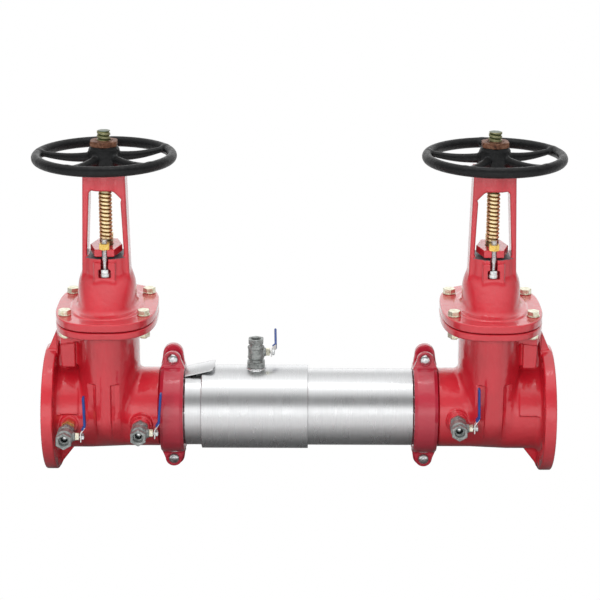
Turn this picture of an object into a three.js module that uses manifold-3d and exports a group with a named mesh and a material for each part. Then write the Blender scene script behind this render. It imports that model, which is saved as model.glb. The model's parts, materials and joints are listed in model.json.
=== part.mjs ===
// Double-check backflow preventer for a 6 inch fire or irrigation main.
// Two outside-screw-and-yoke gate valves stand on either side of a stainless check housing,
// joined to it by grooved couplings. Four quarter-turn test cocks tap the waterway.
// Millimetres, +Z up, +X with the flow. The origin is on the pipe axis at mid-length,
// and the test cocks face -Y.

import * as THREE from 'three';
import { mergeVertices } from 'three/addons/utils/BufferGeometryUtils.js';
import Module from 'manifold-3d';

const wasm = await Module();
wasm.setup();

// ---------------------------------------------------------------- driving dimensions

const ROUND = 24; // sides of a large round form
const MIDDLE = 20; // sides of a form about as wide as a hand
const SMALL = 12; // sides of a small round form
const TINY = 8; // sides of a bolt hole
const GAP = 0.3; // clearance between pieces that touch on the real assembly

const HALF_LENGTH = 552.5; // flange face to mid-length
const STEM_X = 415.7; // valve stem axis to mid-length
const COUPLING_X = 275.8; // coupling centre to mid-length
const END_GAP = 1.5; // each pipe end to the coupling centre

const PIPE = { radius: 84.15, wall: 7.1, grooveRadius: 82, grooveWidth: 9.5, landWidth: 15.9 };
const FLANGE = { radius: 139.7, thickness: 25.4, boltCircle: 120.65, hole: 11, holes: 8 };
const BODY = { bore: 76, flangeHub: 90, grooveHub: 86.5, halfX: 68, halfY: 113 };
const JOINT = { halfX: 109, halfY: 153, power: 2.8, boltX: 84, boltY: 81, hole: 9 };
const LEVEL = {
  bodyFlangeBottom: 202,
  bodyFlangeTop: 217,
  gasketTop: 218.9,
  bonnetFlangeTop: 236.4,
  domeTop: 311,
  boxTop: 350,
  glandBottom: 355,
  glandTop: 371,
  yokeWindowTop: 496,
  yokeTop: 545,
  hubTop: 588.2,
  wheelNutTop: 600,
  threadStart: 378,
  stemTop: 621,
};
const STEM = { radius: 14.3, shank: 13.9, head: 22, headBottom: 68.5, headTop: 81.5 };
const NUT_SLEEVE = { collar: 26, collarTop: 505, body: 22, drive: 36, thread: 17.8, bore: 14.9 };
const WHEEL = { rimCentre: 144.2, tube: 10.5, level: 566, hub: 33, spokes: 5 };
const WEDGE = { radius: 75, top: 95, halfThin: 21, halfThick: 26 };
const PACKING = { outer: 23.6, inner: 14.6, bottom: 318 };
const GLAND_BOLT = { y: 42.5, shank: 4.8, headBottom: 310.5, headTop: 327.7, top: 393 };

const SLEEVE = { from: -212.5, to: 20, inner: 84.7, outer: 91.5 };
const STOP = { from: -249, to: -184, thickness: 3.2, rise: 8, halfWidth: 33, lug: -222 };
const PORT = { from: -190, to: -2, halfWidth: 62 };
const CHECKS = [
  { name: 'check_1', seat: -215 },
  { name: 'check_2', seat: 14 },
];
const COUPLING = { halfWidth: 25.5, outer: 101, boltZ: 115.5, padFront: 22, frontTop: 132, rearTop: 141 };
const COCK = { half: 31, barrel: 17.5, hex: 32, bore: 7.5, ball: 12.4, leverX: 32.5 };
const COCKS = [
  { name: 'test_cock_1', x: -496.7, y: -164, z: -9, rear: 'female' },
  { name: 'test_cock_2', x: -341, y: -142.5, z: -9, rear: 'male' },
  { name: 'test_cock_3', x: -94, y: 0, z: 126.5, rear: 'male', upright: true },
  { name: 'test_cock_4', x: 343, y: -131, z: 0, rear: 'male' },
];
const BOSS_FACE = 33; // test cock centre to the boss or bushing it screws into
const TAP = { boss: 22, root: 60, thread: 10.6 }; // bosses on the valve bodies, from the bore out
const NIPPLE = { outer: 10.5, inner: 7, inside: 10, collar: 26 };
const LEVER_SLACK = THREE.MathUtils.degToRad(12); // the upper lever stands a little open

// ---------------------------------------------------------------- colours

const finish = (color, roughness, metalness) => () =>
  new THREE.MeshStandardMaterial({ color, roughness, metalness });
const redEnamel = finish('#c8404a', 0.35, 0.1);
const wheelBlack = finish('#2b2d2f', 0.6, 0.2);
const brass = finish('#c09a55', 0.3, 0.9);
const bronze = finish('#8a5d4c', 0.5, 0.8);
const stainless = finish('#c4c6c8', 0.3, 0.9);
const zinc = finish('#b8b4a8', 0.4, 0.8);
const darkSteel = finish('#5d625f', 0.5, 0.8);
const rubber = finish('#1d1d1d', 0.8, 0);
const blueVinyl = finish('#1f3f8f', 0.45, 0);

// ---------------------------------------------------------------- solid tools

function signedVolume(points, faces) {
  const [a, b, c] = [new THREE.Vector3(), new THREE.Vector3(), new THREE.Vector3()];
  let sum = 0;
  for (let i = 0; i < faces.length; i += 3) {
    a.fromArray(points, faces[i] * 3);
    b.fromArray(points, faces[i + 1] * 3);
    c.fromArray(points, faces[i + 2] * 3);
    sum += a.dot(b.cross(c));
  }
  return sum;
}

// Turns a closed three.js geometry into a solid with its faces pointing out.
function toSolid(geometry) {
  geometry.deleteAttribute('normal');
  geometry.deleteAttribute('uv');
  const merged = mergeVertices(geometry, 1e-3);
  const points = merged.attributes.position.array;
  const corners = merged.index.array;
  const faces = [];
  for (let i = 0; i < corners.length; i += 3) {
    const [a, b, c] = [corners[i], corners[i + 1], corners[i + 2]];
    if (a !== b && b !== c && c !== a) faces.push(a, b, c);
  }
  if (signedVolume(points, faces) < 0) faces.reverse();
  return new wasm.Manifold(
    new wasm.Mesh({
      numProp: 3,
      vertProperties: new Float32Array(points),
      triVerts: new Uint32Array(faces),
    }),
  );
}

function joined(...solids) {
  return solids.reduce((whole, next) => whole.add(next));
}

function cut(solid, ...tools) {
  return tools.reduce((rest, tool) => rest.subtract(tool), solid);
}

// Maps a form built on Z onto another axis, keeping its hand.
const TURN = {
  x: new THREE.Matrix4().set(0, 0, 1, 0, 1, 0, 0, 0, 0, 1, 0, 0, 0, 0, 0, 1),
  y: new THREE.Matrix4().set(1, 0, 0, 0, 0, 0, -1, 0, 0, 1, 0, 0, 0, 0, 0, 1),
  z: new THREE.Matrix4(),
};

// A solid of revolution from [radius, height] points. A profile off the axis is closed on itself.
function revolve(profile, axis = 'z', sides = ROUND) {
  const touchesAxis = profile[0][0] === 0;
  const outline = touchesAxis ? profile : [...profile, profile[0]];
  const points = outline.map(([radius, height]) => new THREE.Vector2(radius, height));
  const geometry = new THREE.LatheGeometry(points, sides);
  geometry.rotateX(Math.PI / 2);
  if (axis === 'x') geometry.rotateY(Math.PI / 2);
  if (axis === 'y') geometry.rotateX(-Math.PI / 2);
  return toSolid(geometry);
}

// A bar of any number of sides along an axis. "across" is its place on the other two axes.
function bar(axis, radius, from, to, across = [0, 0], sides = SMALL) {
  const geometry = new THREE.CylinderGeometry(radius, radius, to - from, sides);
  const middle = (from + to) / 2;
  if (axis === 'x') {
    geometry.rotateZ(Math.PI / 2);
    geometry.translate(middle, across[0], across[1]);
  } else if (axis === 'y') {
    geometry.translate(across[0], middle, across[1]);
  } else {
    geometry.rotateX(Math.PI / 2);
    geometry.translate(across[0], across[1], middle);
  }
  return toSolid(geometry);
}

function hexBar(axis, acrossFlats, from, to, across = [0, 0]) {
  return bar(axis, acrossFlats / Math.sqrt(3), from, to, across, 6);
}

function block(xs, ys, zs) {
  const geometry = new THREE.BoxGeometry(xs[1] - xs[0], ys[1] - ys[0], zs[1] - zs[0]);
  geometry.translate((xs[0] + xs[1]) / 2, (ys[0] + ys[1]) / 2, (zs[0] + zs[1]) / 2);
  return toSolid(geometry);
}

// A flat outline pushed along an axis: [y, z] points along x, [x, z] along y, [x, y] along z.
function slab(axis, outline, from, to) {
  const shape = new THREE.Shape(outline.map(([u, v]) => new THREE.Vector2(u, v)));
  const geometry = new THREE.ExtrudeGeometry(shape, { depth: to - from, bevelEnabled: false });
  const start = axis === 'y' ? -to : from;
  geometry.translate(0, 0, start);
  geometry.applyMatrix4(TURN[axis]);
  return toSolid(geometry);
}

// A tower of superellipse rings, each [height, half width in x, half width in y].
function tower(rings, power = 2, sides = ROUND) {
  const positions = [];
  for (const [height, halfX, halfY] of rings) {
    for (let i = 0; i < sides; i += 1) {
      const angle = (i / sides) * 2 * Math.PI;
      const [c, s] = [Math.cos(angle), Math.sin(angle)];
      positions.push(halfX * Math.sign(c) * Math.abs(c) ** (2 / power));
      positions.push(halfY * Math.sign(s) * Math.abs(s) ** (2 / power));
      positions.push(height);
    }
  }
  const top = rings.length - 1;
  positions.push(0, 0, rings[0][0]);
  positions.push(0, 0, rings[top][0]);
  const bottomCentre = rings.length * sides;
  const index = [];
  for (let i = 0; i < sides; i += 1) {
    const next = (i + 1) % sides;
    for (let ring = 0; ring < top; ring += 1) {
      const [low, high] = [ring * sides, (ring + 1) * sides];
      index.push(low + i, low + next, high + next);
      index.push(low + i, high + next, high + i);
    }
    index.push(bottomCentre, next, i);
    index.push(bottomCentre + 1, top * sides + i, top * sides + next);
  }
  const geometry = new THREE.BufferGeometry();
  geometry.setAttribute('position', new THREE.Float32BufferAttribute(positions, 3));
  geometry.setIndex(index);
  return toSolid(geometry);
}

// Makes the named mesh of a finished solid.
function piece(name, solid, material) {
  const { vertProperties, triVerts } = solid.getMesh();
  const geometry = new THREE.BufferGeometry();
  geometry.setAttribute('position', new THREE.Float32BufferAttribute(vertProperties, 3));
  geometry.setIndex(new THREE.BufferAttribute(new Uint32Array(triVerts), 1));
  geometry.computeVertexNormals();
  const mesh = new THREE.Mesh(geometry, material());
  mesh.name = name;
  return mesh;
}

// ---------------------------------------------------------------- gate valve
// Built about its stem axis, with its flange on -X and its grooved end on +X.

const FACE_X = STEM_X - HALF_LENGTH;
const FLANGE_BACK_X = FACE_X + FLANGE.thickness;
const PIPE_END_X = STEM_X - COUPLING_X - END_GAP;

// The grooved end of a pipe that ends at "end", as a cutter along x.
function grooveCutter(end, direction) {
  const near = end - direction * PIPE.landWidth;
  const far = near - direction * PIPE.grooveWidth;
  const [from, to] = [Math.min(near, far), Math.max(near, far)];
  const beyond = PIPE.radius + 10;
  return revolve(
    [[PIPE.grooveRadius, from], [beyond, from], [beyond, to], [PIPE.grooveRadius, to]],
    'x',
  );
}

function flangeHoles() {
  const holes = [];
  for (let i = 0; i < FLANGE.holes; i += 1) {
    const angle = ((i + 0.5) / FLANGE.holes) * 2 * Math.PI;
    const y = FLANGE.boltCircle * Math.cos(angle);
    const z = FLANGE.boltCircle * Math.sin(angle);
    holes.push(bar('x', FLANGE.hole, FACE_X - 1, FLANGE_BACK_X + 1, [y, z], TINY));
  }
  return holes;
}

function jointHoles(from, to) {
  const signs = [[1, 1], [1, -1], [-1, 1], [-1, -1]];
  return signs.map(([sx, sy]) =>
    bar('z', JOINT.hole, from, to, [sx * JOINT.boltX, sy * JOINT.boltY], TINY));
}

function jointPlate(from, to) {
  return tower([[from, JOINT.halfX, JOINT.halfY], [to, JOINT.halfX, JOINT.halfY]], JOINT.power);
}

// The run of the valve: flange, hubs and grooved end, closed at both ends.
function bodyRun() {
  return revolve(
    [
      [0, FACE_X],
      [FLANGE.radius, FACE_X],
      [FLANGE.radius, FLANGE_BACK_X],
      [BODY.flangeHub, FLANGE_BACK_X],
      [BODY.flangeHub, -40],
      [BODY.grooveHub, 40],
      [BODY.grooveHub, PIPE_END_X - 34],
      [PIPE.radius, PIPE_END_X - 30],
      [PIPE.radius, PIPE_END_X],
      [0, PIPE_END_X],
    ],
    'x',
  );
}

// The chest round the wedge, from the bottom of the run to the bonnet joint.
function bodyChest() {
  return tower([
    [-85, 52, 26],
    [-66, 62, 70],
    [-30, BODY.halfX, 102],
    [10, BODY.halfX, BODY.halfY],
    [LEVEL.bodyFlangeBottom + 5, BODY.halfX, BODY.halfY],
  ]);
}

// Wedge cavity: open to the bore below and to the bonnet above.
function chestCavity() {
  const top = LEVEL.bodyFlangeTop + 1;
  return tower([[-8, 33, 74], [22, 36, 100], [top, 56, 103]], 3);
}

// Column beside the chest, and a narrower bridge from it down to the rim of the pipe flange.
function flangeButtress() {
  const top = LEVEL.bodyFlangeBottom + 2;
  const column = block([-98, -40], [-60, 60], [110, top]);
  const bridge = [
    [-102, top],
    [FACE_X + 8, 139],
    [FACE_X + 8, 128],
    [FLANGE_BACK_X, 128],
    [-104, 164],
    [-90, 170],
    [-90, top],
  ];
  return joined(column, slab('y', bridge, -36, 36));
}

// Web on the centre plane, which closes the notch between the column and the flange.
function flangeWeb() {
  const outline = [
    [-60, 60],
    [FLANGE_BACK_X - 1, 60],
    [FLANGE_BACK_X - 1, 136],
    [-106, 168],
    [-60, 176],
  ];
  return slab('y', outline, -12, 12);
}

function flangeGusset() {
  return slab('y', [[-40, -84], [-77, -88], [FLANGE_BACK_X - 1, -134], [-112, -60], [-40, -60]], -9, 9);
}

// A round boss with a tapped hole into the waterway, on the side that "facing" points to.
function tapBoss({ x, z, facing, face }) {
  const [from, to] = facing < 0 ? [-face, -TAP.root] : [TAP.root, face];
  return bar('y', TAP.boss, from, to, [x, z], SMALL);
}

function tapHole({ x, z, facing, face, thread, depth }) {
  const wide = facing < 0
    ? bar('y', thread, -face - 1, -face + depth, [x, z], SMALL)
    : bar('y', thread, face - depth, face + 1, [x, z], SMALL);
  const [from, to] = facing < 0 ? [-face, -TAP.root] : [TAP.root, face];
  return joined(wide, bar('y', NIPPLE.inner, from, to, [x, z], TINY));
}

function valveBody(name, taps) {
  const outside = joined(
    bodyRun(),
    bodyChest(),
    jointPlate(LEVEL.bodyFlangeBottom, LEVEL.bodyFlangeTop),
    flangeButtress(),
    flangeWeb(),
    flangeGusset(),
    ...taps.map(tapBoss),
  );
  const solid = cut(
    outside,
    bar('x', BODY.bore, FACE_X - 1, PIPE_END_X + 1, [0, 0], ROUND),
    chestCavity(),
    grooveCutter(PIPE_END_X, 1),
    ...flangeHoles(),
    ...jointHoles(LEVEL.bodyFlangeBottom - 12, LEVEL.bodyFlangeTop + 1),
    ...taps.map(tapHole),
  );
  return piece(name, solid, redEnamel);
}

function bonnetGasket(name) {
  const [from, to] = [LEVEL.bodyFlangeTop + GAP, LEVEL.gasketTop];
  const ring = tower([[from, 74, 124], [to, 74, 124]], 2.4);
  const hole = tower([[from - 1, 58, 105], [to + 1, 58, 105]], 3);
  return piece(name, cut(ring, hole), rubber);
}

function bonnetOutside() {
  const bottom = LEVEL.gasketTop + GAP;
  const dome = tower([
    [LEVEL.bonnetFlangeTop - 2, 62, 108],
    [285, 59.5, 98],
    [301, 56, 86],
    [LEVEL.domeTop, 46, 60],
  ]);
  const neck = tower([[296, 50, 50], [LEVEL.boxTop, 48, 47]], 2.4, MIDDLE);
  const boltBoss = block([-23, 23], [-52, 52], [296, LEVEL.boxTop]);
  return joined(jointPlate(bottom, LEVEL.bonnetFlangeTop), dome, neck, boltBoss);
}

// Yoke: two arms and a crossbar over a window. One upper corner of the window is cut across.
function yoke() {
  const outline = [[-51.5, 300], [51.5, 300], [44.5, LEVEL.yokeTop], [-44.5, LEVEL.yokeTop]];
  const window = [
    [-40, LEVEL.boxTop],
    [40, LEVEL.boxTop],
    [34, 474],
    [16, LEVEL.yokeWindowTop],
    [-33, LEVEL.yokeWindowTop],
  ];
  const frame = slab('y', outline, -28, 28);
  const opening = slab('y', window, -60, 60);
  const crossbar = bar('z', 33, LEVEL.yokeWindowTop, LEVEL.yokeTop, [0, 0], MIDDLE);
  return joined(frame.subtract(opening), crossbar);
}

// Slot that takes a gland bolt's T-head: wide at the head, narrow at the shank.
function boltSlot(side) {
  const head = [GLAND_BOLT.headBottom - 1, GLAND_BOLT.headTop + GAP];
  const [inner, outer] = [side * 32, side * 56];
  const depth = [Math.min(inner, outer), Math.max(inner, outer)];
  return joined(
    block([-12, 12], depth, head),
    block([-6.5, 6.5], depth, [head[0], LEVEL.boxTop + 1]),
  );
}

function bonnet(name) {
  const cavity = tower([
    [LEVEL.bodyFlangeTop, 56, 103],
    [286, 50, 86],
    [301, 28, 40],
  ], 3);
  const bore = (radius, from, to) => bar('z', radius, from, to, [0, 0], MIDDLE);
  const crossbarFoot = LEVEL.yokeWindowTop - 1;
  const solid = cut(
    joined(bonnetOutside(), yoke()),
    cavity,
    bore(STEM.radius + 0.8, 290, PACKING.bottom + 1),
    bore(PACKING.outer + 0.5, PACKING.bottom - GAP, LEVEL.boxTop + 1),
    bore(NUT_SLEEVE.body + 0.4, crossbarFoot, LEVEL.yokeTop + 1),
    bore(NUT_SLEEVE.collar + 0.8, crossbarFoot, NUT_SLEEVE.collarTop + GAP),
    boltSlot(1),
    boltSlot(-1),
    ...jointHoles(LEVEL.gasketTop, LEVEL.bonnetFlangeTop + 1),
  );
  return piece(name, solid, redEnamel);
}

// Solid wedge: round at the bottom, guide ribs on both edges, T-slot for the stem on top.
function wedge(name) {
  const outline = [];
  for (let i = 0; i <= 12; i += 1) {
    const angle = Math.PI + (i / 12) * Math.PI;
    outline.push([WEDGE.radius * Math.cos(angle), WEDGE.radius * Math.sin(angle)]);
  }
  outline.push([WEDGE.radius, 70], [45, WEDGE.top], [-45, WEDGE.top], [-WEDGE.radius, 70]);
  const disc = slab('x', outline, -WEDGE.halfThick, WEDGE.halfThick);
  const taper = slab(
    'y',
    [
      [-WEDGE.halfThin, -WEDGE.radius - 1],
      [WEDGE.halfThin, -WEDGE.radius - 1],
      [WEDGE.halfThick, WEDGE.top + 1],
      [-WEDGE.halfThick, WEDGE.top + 1],
    ],
    -90,
    90,
  );
  const ribs = block([-8, 8], [-88, 88], [24, 66]);
  const slack = 0.6;
  const slot = (half, from, to) => block([-40, 40], [-half - slack, half + slack], [from, to]);
  const headSlot = slot(STEM.head, STEM.headBottom - slack, STEM.headTop + slack);
  const shankSlot = slot(STEM.radius, STEM.headBottom, WEDGE.top + 1);
  return piece(name, cut(joined(disc.intersect(taper), ribs), headSlot, shankSlot), brass);
}

function stem(name) {
  const profile = [
    [0, STEM.headBottom],
    [STEM.head, STEM.headBottom],
    [STEM.head, STEM.headTop],
    [STEM.shank, STEM.headTop],
    [STEM.shank, LEVEL.threadStart],
    [STEM.radius, LEVEL.threadStart],
    [STEM.radius, LEVEL.stemTop - 2],
    [STEM.radius - 2, LEVEL.stemTop],
    [0, LEVEL.stemTop],
  ];
  return piece(name, revolve(profile, 'z', MIDDLE), brass);
}

// Yoke nut: turns in the crossbar, held by the collar at its foot, and drives the stem.
function stemNut(name) {
  const foot = LEVEL.yokeWindowTop + GAP;
  const collar = bar('z', NUT_SLEEVE.collar, foot, NUT_SLEEVE.collarTop, [0, 0], MIDDLE);
  const body = bar('z', NUT_SLEEVE.body, foot, LEVEL.yokeTop + 0.2, [0, 0], MIDDLE);
  const drive = hexBar('z', NUT_SLEEVE.drive, LEVEL.yokeTop, LEVEL.hubTop, [0, 0]);
  const top = bar('z', NUT_SLEEVE.thread, LEVEL.hubTop - 1, LEVEL.wheelNutTop + 1, [0, 0], MIDDLE);
  const bore = bar('z', NUT_SLEEVE.bore, foot - 1, LEVEL.wheelNutTop + 2, [0, 0], MIDDLE);
  return piece(name, cut(joined(collar, body, drive, top), bore), bronze);
}

function rim() {
  const profile = [];
  for (let i = 0; i < 6; i += 1) {
    const angle = (i / 6) * 2 * Math.PI;
    const radius = WHEEL.rimCentre + WHEEL.tube * Math.cos(angle);
    profile.push([radius, WHEEL.level + WHEEL.tube * Math.sin(angle)]);
  }
  return revolve(profile, 'z', 32);
}

// A spoke is a flat bar that rises from the foot of the hub and thins toward the rim.
function spoke(angle) {
  const side = [
    [20, WHEEL.level - 18],
    [60, WHEEL.level - 8],
    [WHEEL.rimCentre, WHEEL.level - 6],
    [WHEEL.rimCentre, WHEEL.level + 4],
    [60, WHEEL.level + 6],
    [20, WHEEL.level + 12],
  ];
  return slab('y', side, -7.5, 7.5).rotate([0, 0, angle]);
}

function handwheel(name, firstSpoke) {
  const hub = tower([
    [LEVEL.yokeTop + GAP + 0.2, WHEEL.hub, WHEEL.hub],
    [LEVEL.hubTop - 14, WHEEL.hub, WHEEL.hub],
    [LEVEL.hubTop, WHEEL.hub - 3, WHEEL.hub - 3],
  ], 2, MIDDLE);
  const spokes = [];
  for (let i = 0; i < WHEEL.spokes; i += 1) spokes.push(spoke(firstSpoke + (i * 360) / WHEEL.spokes));
  const bore = hexBar('z', NUT_SLEEVE.drive + 2 * GAP, LEVEL.yokeTop, LEVEL.hubTop + 1);
  return piece(name, cut(joined(rim(), hub, ...spokes), bore), wheelBlack);
}

function handwheelNut(name) {
  const outside = hexBar('z', 56.3, LEVEL.hubTop + GAP, LEVEL.wheelNutTop);
  const bore = bar('z', NUT_SLEEVE.thread + 0.5, LEVEL.hubTop, LEVEL.wheelNutTop + 1, [0, 0], MIDDLE);
  return piece(name, cut(outside, bore), bronze);
}

function packing(name) {
  const [from, to] = [PACKING.bottom, LEVEL.boxTop - 5];
  const profile = [[PACKING.inner, from], [PACKING.outer, from], [PACKING.outer, to], [PACKING.inner, to]];
  return piece(name, revolve(profile, 'z', MIDDLE), rubber);
}

// Gland follower: a six-sided plate with a nose that presses the packing.
function gland(name) {
  const outline = [[-34.5, 0], [-21, 47], [21, 47], [34.5, 0], [21, -47], [-21, -47]];
  const plate = slab('z', outline, LEVEL.glandBottom, LEVEL.glandTop);
  const nose = bar('z', PACKING.outer, LEVEL.boxTop - 5 + GAP, LEVEL.glandBottom + 1, [0, 0], MIDDLE);
  const solid = cut(
    joined(plate, nose),
    bar('z', PACKING.inner + 0.4, LEVEL.boxTop - 6, LEVEL.glandTop + 1, [0, 0], MIDDLE),
    bar('z', GLAND_BOLT.shank + 0.7, LEVEL.glandBottom - 1, LEVEL.glandTop + 1, [0, GLAND_BOLT.y], TINY),
    bar('z', GLAND_BOLT.shank + 0.7, LEVEL.glandBottom - 1, LEVEL.glandTop + 1, [0, -GLAND_BOLT.y], TINY),
  );
  return piece(name, solid, redEnamel);
}

// T-head gland bolt with its nut.
function glandBolt(name, side) {
  const y = side * GLAND_BOLT.y;
  const head = block([-10.5, 10.5], [y - 7.5, y + 7.5], [GLAND_BOLT.headBottom, GLAND_BOLT.headTop]);
  const shank = bar('z', GLAND_BOLT.shank, GLAND_BOLT.headTop - 1, GLAND_BOLT.top, [0, y], TINY);
  const nut = hexBar('z', 19, LEVEL.glandTop + GAP, LEVEL.glandTop + 12, [0, y]);
  return piece(name, joined(head, shank, nut), zinc);
}

function gateValve(prefix, { taps, firstSpoke }) {
  const group = new THREE.Group();
  group.add(valveBody(`${prefix}_valve_body`, taps));
  group.add(bonnetGasket(`${prefix}_bonnet_gasket`));
  group.add(bonnet(`${prefix}_bonnet`));
  group.add(wedge(`${prefix}_wedge`));
  group.add(stem(`${prefix}_stem`));
  group.add(stemNut(`${prefix}_stem_nut`));
  group.add(handwheel(`${prefix}_handwheel`, firstSpoke));
  group.add(handwheelNut(`${prefix}_handwheel_nut`));
  group.add(packing(`${prefix}_packing`));
  group.add(gland(`${prefix}_gland`));
  group.add(glandBolt(`${prefix}_gland_bolt_a`, -1));
  group.add(glandBolt(`${prefix}_gland_bolt_b`, 1));
  return group;
}

// ---------------------------------------------------------------- check housing

function housingTube() {
  const end = COUPLING_X - END_GAP;
  const inner = PIPE.radius - PIPE.wall;
  const tube = revolve([[inner, -end], [PIPE.radius, -end], [PIPE.radius, end], [inner, end]], 'x');
  const port = block([PORT.from, PORT.to], [-PORT.halfWidth, PORT.halfWidth], [20, 100]);
  return piece('housing_tube', cut(tube, grooveCutter(end, 1), grooveCutter(-end, -1), port), stainless);
}

const SEAL = { width: 6, depth: 3.2, inset: 7 };

// Ring groove inside the sleeve, or with a trim the seal that lies in it.
function sealProfile(centre, trim) {
  const half = SEAL.width / 2 - trim;
  const outer = SLEEVE.inner + SEAL.depth - trim;
  const inner = trim ? SLEEVE.inner - 0.2 : SLEEVE.inner - 2;
  return [[inner, centre - half], [outer, centre - half], [outer, centre + half], [inner, centre + half]];
}

// Sleeve that slides over the access port. It carries the welded boss of the upper test cock.
function accessSleeve(cock) {
  const shell = revolve(
    [
      [SLEEVE.inner, SLEEVE.from],
      [SLEEVE.outer, SLEEVE.from],
      [SLEEVE.outer, SLEEVE.to],
      [SLEEVE.inner, SLEEVE.to],
    ],
    'x',
  );
  const bossTop = cock.z - BOSS_FACE - GAP;
  const boss = bar('z', 21, 70, bossTop, [cock.x, 0], SMALL);
  const inside = bar('x', SLEEVE.inner, SLEEVE.from, SLEEVE.to, [0, 0], ROUND);
  const hole = bar('z', TAP.thread, 70, bossTop + 1, [cock.x, 0], SMALL);
  const solid = cut(
    joined(shell, boss.subtract(inside)),
    hole,
    revolve(sealProfile(SLEEVE.from + SEAL.inset, 0), 'x'),
    revolve(sealProfile(SLEEVE.to - SEAL.inset, 0), 'x'),
  );
  return piece('access_sleeve', solid, stainless);
}

function sleeveSeal(name, centre) {
  return piece(name, revolve(sealProfile(centre, GAP), 'x'), rubber);
}

// Curved stainless plate that rises over the sleeve's end. The lug under it meets the sleeve's
// edge, so the sleeve can't slide back off its port.
function sleeveStop() {
  const { from, to, thickness, rise, halfWidth, lug } = STOP;
  const low = PIPE.radius + GAP + 1;
  const high = SLEEVE.outer + rise;
  const plate = revolve(
    [[low, from], [low + thickness, from], [high + thickness, to], [high, to]],
    'x',
  );
  const foot = revolve(
    [[low, lug], [high, lug], [high, SLEEVE.from - GAP], [low, SLEEVE.from - GAP]],
    'x',
  );
  const under = revolve(
    [[low - 5, from - 1], [low + 1, from - 1], [high + 1, to + 1], [low - 5, to + 1]],
    'x',
  );
  const width = (half) => block([from - 1, to + 1], [-half, half], [60, 120]);
  const solid = joined(
    plate.intersect(width(halfWidth)),
    foot.intersect(under).intersect(width(halfWidth / 3)),
  );
  return piece('sleeve_stop', solid, stainless);
}

// ---------------------------------------------------------------- check modules
// Each has a seat ring, and a flap hung from two lugs that swings open with the flow.

const SEAT = { outer: 76.4, bore: 52, face: 57, thick: 16 };
const HINGE = { dx: 30, z: 64, pin: 4, lugX: 38 };
const FLAP = { radius: 60, thick: 7, rubber: 56 };

function checkSeat(name, x) {
  const ring = revolve(
    [[SEAT.bore, x], [SEAT.outer, x], [SEAT.outer, x + SEAT.thick], [SEAT.bore, x + SEAT.thick]],
    'x',
  );
  const lugs = [-1, 1].map((side) => {
    const ys = side < 0 ? [-26, -19] : [19, 26];
    return block([x + SEAT.thick - 2, x + HINGE.lugX], ys, [56, 70]);
  });
  const pinHole = bar('y', HINGE.pin + 0.35, -30, 30, [x + HINGE.dx, HINGE.z], SMALL);
  return piece(name, cut(joined(ring, ...lugs), pinHole), bronze);
}

// The flap's rubber face seals on the seat's edge.
function checkFlap(name, x) {
  const face = x + SEAT.thick + 4.3;
  const disc = bar('x', FLAP.radius - 4, face, face + FLAP.thick, [0, -2], MIDDLE);
  const arm = block([face + 2, x + HINGE.dx + 5], [-9, 9], [10, HINGE.z]);
  const barrel = bar('y', 8, -11, 11, [x + HINGE.dx, HINGE.z], SMALL);
  const pin = bar('y', HINGE.pin, -25.5, 25.5, [x + HINGE.dx, HINGE.z], SMALL);
  return piece(name, joined(disc, arm, barrel, pin), bronze);
}

function flapSeal(name, x) {
  const face = x + SEAT.thick + GAP;
  return piece(name, bar('x', FLAP.rubber, face, face + 3.7, [0, -2], MIDDLE), rubber);
}

// Torsion spring wound round the pin beside the flap's barrel.
function flapSpring(name, x) {
  const wire = 1.2;
  const coilRadius = 6.4;
  const turns = 2;
  const points = [];
  for (let i = 0; i <= turns * 10; i += 1) {
    const angle = (i / 10) * 2 * Math.PI;
    const y = 12.8 + (i / (turns * 10)) * 4.6;
    points.push(new THREE.Vector3(
      x + HINGE.dx + coilRadius * Math.cos(angle),
      y,
      HINGE.z + coilRadius * Math.sin(angle),
    ));
  }
  const path = new THREE.CatmullRomCurve3(points);
  const section = new THREE.Shape();
  section.absarc(0, 0, wire, 0, 2 * Math.PI, false);
  const geometry = new THREE.ExtrudeGeometry(section, {
    extrudePath: path,
    steps: turns * 12,
    curveSegments: 3,
    bevelEnabled: false,
  });
  return piece(name, toSolid(geometry), stainless);
}

// ---------------------------------------------------------------- grooved couplings

function couplingGasket(name, x) {
  const profile = [
    [PIPE.radius + GAP, x - 14],
    [PIPE.radius + 9, x - 14],
    [PIPE.radius + 9, x + 14],
    [PIPE.radius + GAP, x + 14],
  ];
  return piece(name, revolve(profile, 'x'), rubber);
}

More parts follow.
